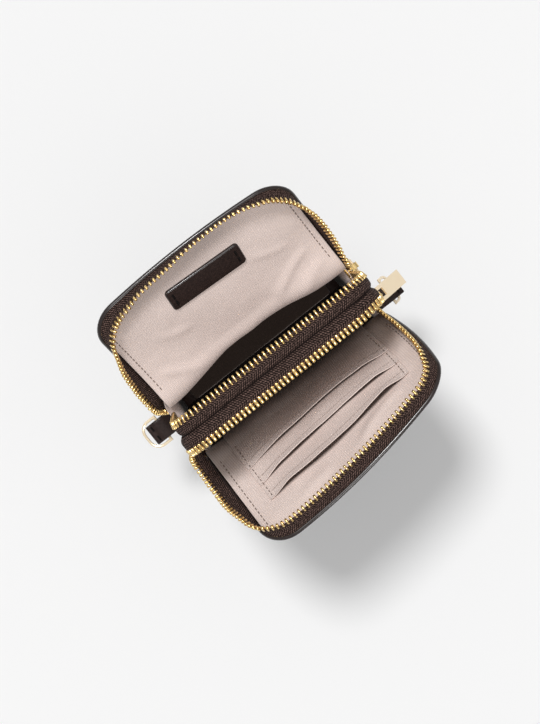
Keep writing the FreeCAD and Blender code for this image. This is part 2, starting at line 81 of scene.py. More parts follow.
# Creases of a flap's lining: X and Z of both ends, and the height.
REAR_CREASES = (
    (50, 132, 18, 113, 1.3), (54, 120, 30, 108, 1.5), (-52, 128, -24, 112, 1.2), (20, 150, 46, 140, 0.8),
    (-40, 146, -16, 136, 0.7))
FRONT_CREASES = (
    (4, 168, 40, 160, 1.2), (44, 158, 52, 134, 0.9), (-52, 150, -47, 126, 0.9), (-40, 170, -8, 165, 0.8))

Colour = tuple[float, float, float]
Material = bpy.types.Material
Piece = bpy.types.Object
Shape = bmesh.types.BMesh
Socket = bpy.types.NodeSocket
log = logging.getLogger("phone_pouch")


class Side(Enum):
    """The two compartments."""

    REAR = 1
    FRONT = -1

    @property
    def word(self) -> str:
        """The side's name in nodes and bodies."""
        return self.name.lower()


class Hand(Enum):
    """The two ends of the pouch."""

    LEFT = -1
    RIGHT = 1

    @property
    def word(self) -> str:
        """The end's name in nodes and bodies."""
        return self.name.lower()


def smooth(value: float) -> float:
    """A soft step from 0 to 1."""
    t = min(max(value, 0.0), 1.0)
    return t * t * (3 - 2 * t)


def ease(value: float, start: float, end: float) -> float:
    """A soft step from 0 at the start to 1 at the end."""
    return smooth((value - start) / (end - start))


def bump(value: float, middle: float, spread: float) -> float:
    """A soft hill of height 1."""
    return math.exp(-(((value - middle) / spread) ** 2))


def between(stops: Sequence[tuple[float, float]], at: float) -> float:
    """Read a smooth curve that passes through a few stops.

    Args:
        stops: Pairs of place and value, in rising order of place.
        at: The place to read.

    Returns:
        The value there.
    """
    if at <= stops[0][0] or at >= stops[-1][0]:
        return stops[0][1] if at <= stops[0][0] else stops[-1][1]
    i = next(i for i in range(1, len(stops)) if at <= stops[i][0])
    (low, first), (high, second) = stops[i - 1], stops[i]
    before, after = stops[max(i - 2, 0)], stops[min(i + 1, len(stops) - 1)]
    span, t = high - low, (at - low) / (high - low)
    rise = (second - before[1]) / (high - before[0]) * span
    fall = (after[1] - first) / (after[0] - low) * span
    return (first * (1 + 2 * t) * (1 - t) ** 2 + rise * t * (1 - t) ** 2
            + second * t * t * (3 - 2 * t) + fall * t * t * (t - 1))


def ripple(x: float, y: float, seed: float, grain: float) -> float:
    """Steady cloth unevenness from -1 to 1, with bumps about grain millimetres across."""
    return noise.noise(Vector((x / grain, y / grain, seed)))


# Finishes


class Pen:
    """Draws nodes in a tree.

    Args:
        tree: The tree of a material or a world.
    """

    def __init__(self, tree: bpy.types.NodeTree) -> None:
        """Take up the tree."""
        self.tree = tree

    def add(self, kind: str, inputs: dict | None = None, **settings: object) -> bpy.types.Node:
        """Add a node.

        Args:
            kind: The node's type, without its prefix.
            inputs: Socket names or numbers with their values, or with sockets to link.
            **settings: The node's own settings.

        Returns:
            The node.
        """
        node = self.tree.nodes.new(f"ShaderNode{kind}")
        for key, value in settings.items():
            setattr(node, key, value)
        self.feed(node, inputs or {})
        return node

    def feed(self, node: bpy.types.Node, inputs: dict) -> None:
        """Set or link a node's sockets.

        Args:
            node: The node.
            inputs: Socket names or numbers with their values, or with sockets to link.
        """
        for key, value in inputs.items():
            if isinstance(value, Socket):
                self.tree.links.new(value, node.inputs[key])
            else:
                node.inputs[key].default_value = value

    def ramp(self, value: Socket, start: tuple[float, float], end: tuple[float, float]) -> Socket:
        """Stretch a range of a value to another range."""
        names = ("From Min", "From Max", "To Min", "To Max")
        return self.add("MapRange", {"Value": value, **dict(zip(names, (*start, *end)))}).outputs[0]

    def mix(self, share: Socket, first: Socket, second: Socket | float) -> Socket:
        """Take the second value where the share is 1, and else the first."""
        return self.add("Mix", {0: share, 2: first, 3: second}).outputs[0]


class NodePen(Pen):
    """Draws a material's nodes.

    Args:
        name: The material's name.
    """

    def __init__(self, name: str) -> None:
        """Make the material and find its shader."""
        self.material = bpy.data.materials.new(name)
        self.material.use_nodes = True
        super().__init__(self.material.node_tree)
        self.shader = next(n for n in self.tree.nodes if n.type == "BSDF_PRINCIPLED")

    def place(self, turn: float = 0.0, scale: Sequence[float] = (1, 1, 1), weave: bool = False) -> Socket:
        """Coordinates for a pattern.

        Args:
            turn: Degrees about the third axis.
            scale: Stretch along each axis.
            weave: Follow the cloth's own map and not the object.

        Returns:
            The vector socket.
        """
        source = self.add("TexCoord").outputs["UV" if weave else "Object"]
        mapping = self.add("Mapping", {"Vector": source, "Scale": scale,
                                       "Rotation": (0, 0, math.radians(turn))})
        return mapping.outputs["Vector"]

    def noise(self, vector: Socket, scale: float, detail: float = 3.0) -> Socket:
        """Cloudy unevenness from 0 to 1."""
        return self.add("TexNoise", {"Vector": vector, "Scale": scale, "Detail": detail}).outputs["Fac"]

    def wave(self, vector: Socket, pitch: float, waver: float) -> Socket:
        """Stripes along the first axis, a pitch in metres apart."""
        look = {"Scale": math.tau / 20 / pitch, "Distortion": waver, "Detail": 1.0}
        return self.add("TexWave", {"Vector": vector, **look}).outputs["Fac"]

    def math(self, operation: str, first: object, second: object = 0.5) -> Socket:
        """One sum on two values or sockets."""
        return self.add("Math", {0: first, 1: second}, operation=operation).outputs[0]

    def span(self, value: Socket, low: float, high: float) -> Socket:
        """Stretch a 0 to 1 value to a range."""
        return self.ramp(value, (0.0, 1.0), (low, high))

    def blend(self, share: Socket, first: Colour, second: Colour | Socket) -> Socket:
        """Mix two colours, of which the second may be a socket."""
        full = second if isinstance(second, Socket) else (*second, 1)
        return self.add("Mix", {0: share, 6: (*first, 1), 7: full}, data_type="RGBA").outputs[2]

    def dim(self, colour: Socket, dark: Colour) -> Socket:
        """Paint shade: fade a colour to a dark one where a cloth's tone layer falls to 0."""
        return self.blend(self.add("Attribute", attribute_name="tone").outputs["Fac"], dark, colour)

    def finish(self, colour: Socket, roughness: Socket,
               height: Socket, depth: float, strength: float = 1.0) -> None:
        """Link the pattern to the shader.

        Args:
            colour: The surface colour.
            roughness: The gloss.
            height: The relief from 0 to 1.
            depth: The relief's depth in millimetres.
            strength: The relief's share.
        """
        relief = self.add("Bump", {"Height": height, "Distance": depth * MM, "Strength": strength})
        self.set({"Base Color": colour, "Roughness": roughness, "Normal": relief.outputs[0]})

    def set(self, inputs: dict) -> None:
        """Set or link the shader's sockets."""
        self.feed(self.shader, inputs)


@dataclass(frozen=True)
class Leather:
    """Grained leather, or its smooth painted edge."""

    name: str
    colour: Colour
    worn: Colour
    grain: float
    relief: float
    gloss: tuple[float, float]
    coat: tuple[float, float, float]

    def material(self) -> Material:
        """Build the leather, with its coat's weight, roughness and refraction.

        Returns:
            The material.
        """
        pen = NodePen(self.name)
        place = pen.place()
        cells = pen.add("TexVoronoi", {"Vector": place, "Scale": 1 / (self.grain * MM), "Randomness": 0.9},
                        feature="SMOOTH_F1")
        creases = pen.noise(place, 1.6 / (self.grain * MM), 5)
        height = pen.math("ADD", pen.math("MULTIPLY", cells.outputs["Distance"], -0.7),
                          pen.math("MULTIPLY", creases, 0.5))
        patch = pen.noise(place, 45, 4)
        speck = pen.math("MULTIPLY", patch, cells.outputs["Distance"])
        pen.finish(pen.blend(pen.span(speck, -0.1, 1.1), self.colour, self.worn),
                   pen.span(creases, *self.gloss), height, self.relief)
        pen.set(dict(zip(("Coat Weight", "Coat Roughness", "Coat IOR"), self.coat)))
        pen.set({"Specular IOR Level": 0.14})
        return pen.material


@dataclass(frozen=True)
class Twill:
    """Fine twill lining, with painted shade."""

    name: str
    colour: Colour
    shade: Colour
    # Near-black colour of the painted shade inside the compartments.
    deep: Colour
    pitch: float
    slant: float

    def material(self) -> Material:
        """Build the twill from its diagonal rib, its threads and soft unevenness, with painted shade from the
        cloth's tone layer.

        Returns:
            The material.
        """
        pen = NodePen(self.name)
        rib = pen.wave(pen.place(self.slant, weave=True), self.pitch * MM, 0.6)
        flat = pen.place(weave=True)
        weft = pen.wave(pen.place(90, weave=True), self.pitch * 0.62 * MM, 0.4)
        cloud = pen.noise(flat, 38, 4)
        slub = pen.noise(pen.place(scale=(1, 9, 1), weave=True), 700, 2)
        thread = pen.math("ADD", pen.math("MULTIPLY", rib, 0.6), pen.math("MULTIPLY", weft, 0.4))
        tone = pen.math("ADD", pen.math("MULTIPLY", thread, 0.6),
                        pen.math("ADD", pen.math("MULTIPLY", cloud, 0.3), pen.math("MULTIPLY", slub, 0.25)))
        pen.finish(pen.dim(pen.blend(tone, self.shade, self.colour), self.deep), pen.span(cloud, 0.68, 0.9),
                   thread, 0.16)
        pen.set({"Sheen Weight": 0.18, "Sheen Roughness": 0.5, "Specular IOR Level": 0.3})
        return pen.material


@dataclass(frozen=True)
class Webbing:
    """Woven zip tape with chevron ribs."""

    name: str
    colour: Colour
    lit: Colour
    rib: float

    def material(self) -> Material:
        """Build the tape from slanting ribs that meet in its middle, and fuzzy threads.

        Returns:
            The material.
        """
        pen = NodePen(self.name)
        flat = pen.place(weave=True)
        split = pen.add("SeparateXYZ", {0: flat})
        side = pen.math("ABSOLUTE", pen.math("SUBTRACT", split.outputs["Y"], TAPE_WIDTH / 2 * MM))
        slanted = pen.math("ADD", split.outputs["X"], pen.math("MULTIPLY", side, 0.8))
        chevron = pen.add("CombineXYZ", {"X": slanted, "Y": split.outputs["Y"]}).outputs[0]
        ribs = pen.wave(chevron, self.rib * MM, 0.8)
        runs = pen.wave(pen.place(90, weave=True), self.rib * 0.72 * MM, 1.2)
        fuzz = pen.noise(flat, 1100, 4)
        knit = pen.math("MULTIPLY", pen.span(ribs, 0.25, 1.0), pen.span(runs, 0.45, 1.0))
        tone = pen.ramp(pen.math("MULTIPLY", knit, pen.span(fuzz, -0.5, 2.1)), (0.22, 0.95), (0.0, 1.0))
        pen.finish(pen.blend(tone, self.colour, self.lit), pen.span(fuzz, 0.65, 0.95), knit, 0.3)
        pen.set({"Specular IOR Level": 0.1})
        return pen.material


@dataclass(frozen=True)
class Metal:
    """Plated metal with faint polish marks."""

    name: str
    colour: Colour
    dark: Colour
    gloss: tuple[float, float]
    metallic: float = 1.0

    def material(self) -> Material:
        """Build the plating.

        Returns:
            The material.
        """
        pen = NodePen(self.name)
        tarnish = pen.noise(pen.place(), 260, 4)
        marks = pen.noise(pen.place(scale=(1, 1, 6)), 1800, 2)
        pen.finish(pen.blend(tarnish, self.dark, self.colour), pen.span(tarnish, *self.gloss), marks,
                   0.012, 0.5)
        pen.set({"Metallic": self.metallic})
        return pen.material


@dataclass(frozen=True)
class Thread:
    """Twisted sewing thread."""

    name: str
    colour: Colour
    lit: Colour

    def material(self) -> Material:
        """Build the thread from its twist.

        Returns:
            The material.
        """
        pen = NodePen(self.name)
        twist = pen.wave(pen.place(35), 0.35 * MM, 0.5)
        fuzz = pen.noise(pen.place(), 2500, 2)
        pen.finish(pen.blend(pen.math("MULTIPLY", twist, fuzz), self.colour, self.lit),
                   pen.span(fuzz, 0.6, 0.9), twist, 0.08)
        pen.set({"Specular IOR Level": 0.15})
        return pen.material


@dataclass(frozen=True)
class Board:
    """Grey fibre board."""

    name: str
    colour: Colour
    fibre: Colour

    def material(self) -> Material:
        """Build the board from pressed fibres.

        Returns:
            The material.
        """
        pen = NodePen(self.name)
        fibres = pen.noise(pen.place(scale=(1, 4, 4)), 420, 6)
        pen.finish(pen.blend(fibres, self.colour, self.fibre), pen.span(fibres, 0.75, 0.95), fibres, 0.15)
        return pen.material


@dataclass(frozen=True)
class Finishes:
    """Every finish on the pouch, each made once."""

    leather: Material
    edge: Material
    lining: Material
    tape: Material
    gold: Material
    pale: Material
    lining_thread: Material
    hem_thread: Material
    leather_thread: Material
    board: Material


def make_finishes() -> Finishes:
    """Make the pouch's materials.

    Returns:
        The finishes.
    """
    return Finishes(
        leather=Leather("grained_leather", colour=(0.017, 0.0095, 0.008), worn=(0.05, 0.029, 0.024),
                        grain=1.3, relief=0.14, gloss=(0.42, 0.66), coat=(0.1, 0.12, 1.5)).material(),
        edge=Leather("painted_leather_edge", colour=(0.014, 0.008, 0.007), worn=(0.03, 0.017, 0.014),
                     grain=2.6, relief=0.0, gloss=(0.3, 0.42), coat=(0.8, 0.14, 1.5)).material(),
        # The lining's near-black second colour is painted shade for the inside of the compartments.
        lining=Twill("blush_twill", colour=(0.92, 0.775, 0.72), shade=(0.7, 0.57, 0.515),
                     deep=(0.045, 0.027, 0.019), pitch=1.1, slant=-4).material(),
        tape=Webbing("zip_tape_weave", colour=(0.008, 0.004, 0.0033), lit=(0.23, 0.146, 0.123),
                     rib=1.3).material(),
        gold=Metal("zip_gold", colour=(0.94, 0.72, 0.37), dark=(0.64, 0.4, 0.11),
                   gloss=(0.11, 0.22)).material(),
        pale=Metal("pale_gold", colour=(0.99, 0.84, 0.62), dark=(0.97, 0.8, 0.56), gloss=(0.18, 0.3),
                   metallic=0.3).material(),
        lining_thread=Thread("lining_thread", (0.17, 0.125, 0.105), (0.42, 0.33, 0.29)).material(),
        hem_thread=Thread("hem_thread", (0.36, 0.28, 0.25), (0.62, 0.51, 0.46)).material(),
        leather_thread=Thread("leather_thread", (0.002, 0.0012, 0.001), (0.014, 0.009, 0.008)).material(),
        board=Board("fibre_board", (0.2, 0.16, 0.14), (0.36, 0.3, 0.27)).material(),
    )


# Mesh work


def finished(shape: Shape, name: str, material: Material, slot: str) -> Piece:
    """Turn a shape drawn in millimetres into a smooth piece in the frame.

    Args:
        shape: The drawn shape, which is used up.
        name: The piece's name.
        material: Its finish.
        slot: The record's material slot; not used.

    Returns:
        The piece.
    """
    bmesh.ops.scale(shape, vec=(MM, MM, MM), verts=shape.verts)
    mesh = bpy.data.meshes.new(name)
    shape.to_mesh(mesh)
    shape.free()
    mesh.polygons.foreach_set("use_smooth", [True] * len(mesh.polygons))
    mesh.materials.append(material)
    piece = bpy.data.objects.new(name, mesh)
    bpy.context.scene.collection.objects.link(piece)
    log.info("%s: %d faces", name, len(mesh.polygons))
    return piece


def thicken(piece: Piece, thickness: float) -> None:
    """Give a sheet its thickness to both sides and round it off.

    Args:
        piece: The sheet.
        thickness: In millimetres.
    """
    wall = piece.modifiers.new("thickness", "SOLIDIFY")
    wall.thickness = thickness * MM
    wall.offset = 0.0
    surface = piece.modifiers.new("rounding", "SUBSURF")
    surface.levels = surface.render_levels = 1


def cloth(columns: int, rows: int, cut: tuple[float, float], place: Callable[[float, float], Vector],
          tone: Callable[[float, float], float] | None = None) -> Shape:
    """Lay a flat cut of material over a form.

    Args:
        columns: Faces across.
        rows: Faces along.
        cut: Its flat width and length in millimetres, for the weave.
        place: Gives the place of a point from its share across and along.
        tone: Gives the share of its colour that painted shade leaves, if not all.

    Returns:
        The shape.
    """
    shape = bmesh.new()
    bmesh.ops.create_grid(shape, x_segments=columns, y_segments=rows, size=0.5)
    weave = shape.loops.layers.uv.new("weave")
    for face in shape.faces:
        for loop in face.loops:
            loop[weave].uv = ((loop.vert.co.x + 0.5) * cut[0] * MM, (loop.vert.co.y + 0.5) * cut[1] * MM)
    # The tone layer carries painted shade, which the lining material reads.
    light = shape.verts.layers.float.new("tone")
    for vert in shape.verts:
        across, along = vert.co.x + 0.5, vert.co.y + 0.5
        vert[light] = tone(across, along) if tone else 1.0
        vert.co = place(across, along)
    return shape


def bead(points: Sequence[Vector], radius: float) -> Shape:
    """Draw a closed round cord of material along a line.

    Args:
        points: The line in millimetres.
        radius: The cord's radius.

    Returns:
        The shape.
    """
    curve = bpy.data.curves.new("bead_line", "CURVE")
    curve.dimensions = "3D"
    curve.bevel_depth = radius
    curve.bevel_resolution = 3
    line = curve.splines.new("POLY")
    line.points.add(len(points) - 1)
    for spot, point in zip(line.points, points):
        spot.co = (*point, 1)
    line.use_cyclic_u = True
    holder = bpy.data.objects.new("bead_line", curve)
    mesh = bpy.data.meshes.new_from_object(holder)
    shape = bmesh.new()
    shape.from_mesh(mesh)
    bpy.data.objects.remove(holder)
    bpy.data.curves.remove(curve)
    bpy.data.meshes.remove(mesh)
    bmesh.ops.remove_doubles(shape, verts=shape.verts, dist=0.001)
    bmesh.ops.recalc_face_normals(shape, faces=shape.faces)
    return shape


def round_edges(shape: Shape, edges: Iterable[bmesh.types.BMEdge], width: float, steps: int) -> None:
    """Round some edges of a shape."""
    bmesh.ops.bevel(shape, geom=list(edges), offset=width, segments=steps, profile=0.5, affect="EDGES",
                    material=-1, clamp_overlap=True)


def block(size: Sequence[float], middle: Sequence[float], chamfer: float) -> Shape:
    """A block with chamfered edges.

    Args:
        size: Its three lengths.
        middle: Its middle.
        chamfer: The width taken off its edges.

    Returns:
        The shape.
    """
    shape = bmesh.new()
    bmesh.ops.create_cube(shape, size=1)
    bmesh.ops.scale(shape, vec=size, verts=shape.verts)
    if chamfer:
        round_edges(shape, shape.edges, chamfer, 1)
    bmesh.ops.translate(shape, vec=middle, verts=shape.verts)
    return shape


def plate(width: float, height: float, thickness: float, corner: float, edge: float) -> Shape:
    """A flat plate lying in X and Y with rounded corners and softened rims.

    Args:
        width: Along X.
        height: Along Y.
        thickness: Along Z.
        corner: Corner radius.
        edge: Rim radius.

    Returns:
        The shape.
    """
    shape = block((width, height, thickness), (0, 0, 0), 0)
    upright = [e for e in shape.edges if abs(e.verts[0].co.z - e.verts[1].co.z) > thickness / 2]
    round_edges(shape, upright, corner, 5)
    rims = [e for e in shape.edges if abs(e.verts[0].co.z - e.verts[1].co.z) < 1e-6]
    round_edges(shape, rims, edge, 4)
    return shape


def copies(shape: Shape, places: Iterable[Matrix]) -> Shape:
    """Repeat a small shape.

    Args:
        shape: The shape to repeat, which is used up.
        places: Where each copy stands.

    Returns:
        All the copies.
    """
    seed = bpy.data.meshes.new("seed")
    shape.to_mesh(seed)
    shape.free()
    many = bmesh.new()
    for place in places:
        start = len(many.verts)
        many.from_mesh(seed)
        many.verts.ensure_lookup_table()
        bmesh.ops.transform(many, matrix=place, verts=many.verts[start:])
    bpy.data.meshes.remove(seed)
    return many


def merge(shapes: Iterable[Shape]) -> Shape:
    """Put several shapes into one.

    Args:
        shapes: The shapes, which are used up.

    Returns:
        The whole.
    """
    whole = bmesh.new()
    for shape in shapes:
        part = bpy.data.meshes.new("part")
        shape.to_mesh(part)
        shape.free()
        whole.from_mesh(part)
        bpy.data.meshes.remove(part)
    return whole


def axes(at: Vector, across: Vector, along: Vector) -> Matrix:
    """A square set of axes on a surface.

    Args:
        at: The origin.
        across: The X direction.
        along: About the Y direction.

    Returns:
        The matrix.
    """
    x = across.normalized()
    z = x.cross(along).normalized()
    y = z.cross(x)
    return Matrix.Translation(at) @ Matrix((x, y, z)).transposed().to_4x4()


def stitch_shape(length: float, thick: float) -> Shape:
    """One stitch lying along X, half sunk in the cloth."""
    return block((length, thick * 1.25, thick), (0, 0, thick * 0.22), thick * 0.4)


def sewn(line: Callable[[float], Vector], length: float, pitch: float, lift: Vector) -> list[Matrix]:
    """Places for a row of stitches.

    Args:
        line: Gives the seam's place at a distance along it.
        length: The seam's length.
        pitch: Stitch spacing.
        lift: About the direction that the cloth faces.

    Returns:
        One matrix for each stitch.
    """
    count = max(int(length / pitch), 1)
    places = []
    for i in range(count):
        along = (i + 0.5) * length / count
        step = line(along + 0.4) - line(along - 0.4)
        places.append(axes(line(along), step, lift.cross(step)))
    return places


@dataclass(frozen=True)
class Stitching:
    """A thread and the size of its stitches."""

    thread: Material
    slot: str
    length: float
    thick: float

    def sew(self, name: str, rows: Iterable[Matrix], body: str) -> Piece:
        """Make a piece of many stitches.

        Args:
            name: The piece's name.
            rows: One matrix for each stitch.
            body: What it rides on.

        Returns:
            The piece.
        """
        shape = copies(stitch_shape(self.length, self.thick), rows)
        piece = finished(shape, name, self.thread, self.slot)
        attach(piece, body)
        return piece


# Form


@dataclass(frozen=True)
class Outline:
    """The flat outline of a leather panel with its flap."""

    half: float = 59.0
    top: float = 180.0
    high_radius: float = 15.0
    low_radius: float = 10.0

    def half_at(self, z: float, inset: float) -> float:
        """Half the width at a height.

        Args:
            z: The height.
            inset: How far inside the edge.

        Returns:
            Half the width there.
        """
        half, high, low = self.half - inset, self.top - inset, inset
        upper, lower = self.high_radius - inset, self.low_radius - inset
        if z > high - upper:
            return half - upper + math.sqrt(max(upper ** 2 - (z - high + upper) ** 2, 0.0))
        if z < low + lower:
            return half - lower + math.sqrt(max(lower ** 2 - (low + lower - z) ** 2, 0.0))
        return half

    def at(self, along: float, inset: float) -> tuple[float, float, float]:
        """A place on the edge.

        Args:
            along: Distance from the middle of the top, to the right if positive.
            inset: How far inside the edge.

        Returns:
            X, Z and the angle of the outward direction from straight up.
        """
        side, rest = (1 if along >= 0 else -1), abs(along)
        half, top, low = self.half - inset, self.top - inset, inset
        upper, lower = self.high_radius - inset, self.low_radius - inset
        flat, leg = half - upper, top - upper - low - lower
        if rest <= flat:
            return side * rest, top, 0.0
        rest -= flat
        if rest <= upper * math.pi / 2:
            turn = rest / upper
            return (side * (flat + upper * math.sin(turn)), top - upper + upper * math.cos(turn),
                    side * turn)
        rest -= upper * math.pi / 2
        if rest <= leg:
            return side * half, top - upper - rest, side * math.pi / 2
        rest -= leg
        if rest <= lower * math.pi / 2:
            turn = rest / lower
            return (side * (half - lower + lower * math.cos(turn)), low + lower - lower * math.sin(turn),
                    side * (math.pi / 2 + turn))
        rest -= lower * math.pi / 2
        return side * (half - lower - rest), low, side * math.pi

    def reach(self, inset: float, low: float) -> float:
        """Distance along the edge from the middle of the top down to a height."""
        upper = self.high_radius - inset
        return self.half - inset - upper + upper * math.pi / 2 + self.top - inset - upper - low

    def around(self, inset: float) -> float:
        """Half the length of the whole edge."""
        lower = self.low_radius - inset
        return self.reach(inset, inset + lower) + lower * math.pi / 2 + self.half - inset - lower


@dataclass(frozen=True)
class FlapSpace:
    """Takes a point of a panel or flap, drawn shut, to where it lies with the flap folded out."""

    side: Side
    opening: float
    fold_y: float = 20.3
    fold_z: float = 110.0
    face_y: float = 19.6
    flap_tall: float = 70.0
    soft: float = 8.0
    slant: float = 0.0
    twist: float = 0.0
    bow: float = 0.0
    slip: float = 0.0
    flare: float = 0.0
    outline: Outline = field(default_factory=Outline)

    def place(self, x: float, depth: float, z: float) -> Vector:
        """Fold a point out.

        Args:
            x: Along the width.
            depth: From the leather's inner face towards the middle of the pouch.
            z: Height with the flap shut.

        Returns:
            Its place in the frame.
        """
        share = x / self.outline.half
        up = max(z - self.fold_z, 0.0) / self.flap_tall
        height = z - self.fold_z - (self.slant * share + self.bow * share ** 2) * up
        turn = math.radians(self.opening + self.twist * share)
        turn *= smooth((z - self.fold_z + self.soft) / (2 * self.soft))
        near = self.face_y - depth - self.fold_y
        y = self.fold_y + near * math.cos(turn) + height * math.sin(turn)
        across = x + self.slip * up + self.flare * max(share, 0) ** 2 * 4 * up * (1 - up)
        return Vector((across, self.side.value * y,
                       self.fold_z - near * math.sin(turn) + height * math.cos(turn)))

    def blend(self, piece: Piece) -> None:
        """Bake a piece's transform into its mesh, as it lies at rest.

        Args:
            piece: A piece that crosses the fold.
        """
        start = self.place(0, 0, self.fold_z - self.soft) * MM
        end = self.place(0, 0, self.fold_z + self.soft) * MM
        self.flap
        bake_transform(piece)

    def facing(self, z: float) -> Vector:
        """About the direction that the flap's lining faces at a height."""
        return self.place(0, 10, z) - self.place(0, 0, z)

    @property
    def flap(self) -> str:
        """The flap's body."""
        return f"{self.side.word}_flap"


def open_angle(side: Side) -> float:
    """How far a flap is folded out at rest, from the frame's joint."""
    joint = next(j for j in frame["joints"] if j["name"] == f"{side.word}_flap_fold")
    return float(joint["range_deg"][1])


def make_spaces() -> dict[Side, FlapSpace]:
    """The two flaps as they lie at rest.

    Returns:
        One space for each side.
    """
    return {
        Side.REAR: FlapSpace(Side.REAR, open_angle(Side.REAR), slant=0.85, bow=4.5, slip=-2.25),
        Side.FRONT: FlapSpace(Side.FRONT, open_angle(Side.FRONT), slant=4.25, twist=-5.0, bow=5.75,
                              slip=0.75, flare=3.5),
    }


# The pouch


@dataclass
class LeatherShell:
    """One leather side that runs from the base over the fold to the top of its flap, with its edge bead."""

    space: FlapSpace
    thickness: float = 1.3
    skin: float = 0.75
    edge: float = 0.6
    pillow: float = 1.0
    uneven: float = 0.15
    columns: int = 48
    rows: int = 100
    bead_radius: float = 1.3
    bead_inset: float = 0.5
    bead_steps: int = 300

    def build(self, finishes: Finishes) -> None:
        """Make and fit the leather and the bead.

        Args:
            finishes: The pouch's materials.
        """
        outline, word = self.space.outline, self.space.side.word

        def place(across: float, along: float) -> Vector:
            """The surface's place at shares of its two directions."""
            # Rows lie closer at the base and the top, where the corners are round.
            share = 0.35 * along + 0.65 * (1 - math.cos(math.pi * along)) / 2
            z = self.edge + (outline.top - 2 * self.edge) * share
            x = (2 * across - 1) * outline.half_at(z, self.edge)
            belly = self.pillow * (1 - (x / outline.half) ** 2) * (1 - bump(z, self.space.fold_z, 22))
            belly *= math.sin(math.pi * min(max(z / outline.top, 0), 1)) ** 0.6
            return self.space.place(x, -self.skin - belly - self.uneven * ripple(x, z, 3.1, 24), z)

        sheet = cloth(self.columns, self.rows, (2 * outline.half, outline.top), place)
        skin = finished(sheet, f"{word}_leather", finishes.leather, "leather")
        thicken(skin, self.thickness)
        self.space.blend(skin)
        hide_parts(f"{word}_panel", f"{word}_flap_leather")

        around = outline.around(self.bead_inset)
        points = []
        for i in range(self.bead_steps):
            x, z, _ = outline.at(-around + 2 * around * i / self.bead_steps, self.bead_inset)
            points.append(self.space.place(x, -self.skin, max(z, self.bead_radius)))
        rim = finished(bead(points, self.bead_radius), f"{word}_edge_bead", finishes.edge, "leather")
        self.space.blend(rim)
        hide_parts(f"{word}_panel_piping", f"{word}_flap_piping")


@dataclass
class SideGusset:
    """The leather band round both ends and under the base, with a turned and stitched top edge."""

    half: float = 58.3
    half_depth: float = 19.9
    top: float = 92.0
    radius: float = 9.3
    thickness: float = 1.3
    low: float = 0.7
    sag: float = 0.5
    uneven: float = 0.25
    seam_drops: tuple[float, float] = (2.2, 4.6)
    seam_pitch: float = 3.0
    seam_margin: float = 2.0
    seam_lift: float = 0.7
    columns: int = 16
    rows: int = 110

    def along(self, distance: float) -> tuple[float, float, float]:
        """A place on the band's middle line.

        Args:
            distance: From the middle of the base, to the right if positive.

        Returns:
            X, Z and the angle of the outward direction from straight down.
        """
        side, rest = (1 if distance >= 0 else -1), abs(distance)
        flat, low = self.half - self.radius, self.low
        if rest <= flat:
            return side * rest, low, 0.0
        rest -= flat
        if rest <= self.radius * math.pi / 2:
            turn = rest / self.radius
            return (side * (flat + self.radius * math.sin(turn)),
                    low + self.radius - self.radius * math.cos(turn), side * turn)
        rest -= self.radius * math.pi / 2
        return side * self.half, low + self.radius + rest, side * math.pi / 2

    def build(self, finishes: Finishes) -> None:
        """Make and fit the band and its stitches.

        Args:
            finishes: The pouch's materials.
        """
        reach = self.half - self.radius + self.radius * math.pi / 2 + self.top - self.radius - self.low

        def place(across: float, along: float) -> Vector:
            """The surface's place at shares of its two directions."""
            x, z, turn = self.along((2 * along - 1) * reach)
            y = (2 * across - 1) * self.half_depth
            rise = ease(z, 6, 26)
            sink = self.sag * rise * (1 - (y / self.half_depth) ** 2)
            sink -= self.uneven * rise * ripple(y, z + x, 7.7, 15)
            return Vector((x - math.sin(turn) * sink, y, z))

        sheet = cloth(self.columns, self.rows, (2 * self.half_depth, 2 * reach), place)
        band = finished(sheet, "gusset_leather", finishes.leather, "leather")
        thicken(band, self.thickness)
        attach(band, "pouch_body")
        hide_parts("base_gusset")

        seams = []
        for hand in Hand:
            outward = Vector((hand.value, 0, 0))
            for drop in self.seam_drops:
                def line(along: float) -> Vector:
                    """The seam's place at a distance along it."""
                    across = ((along - self.half_depth + self.seam_margin) / self.half_depth + 1) / 2
                    spot = place(across, 0.5 + hand.value * 0.5 * (1 - drop / reach))
                    return spot + outward * self.seam_lift
                seams += sewn(line, 2 * (self.half_depth - self.seam_margin), self.seam_pitch, outward)
        thread = Stitching(finishes.leather_thread, "leather", length=2.1, thick=0.55)
        thread.sew("gusset_stitches", seams, "pouch_body")


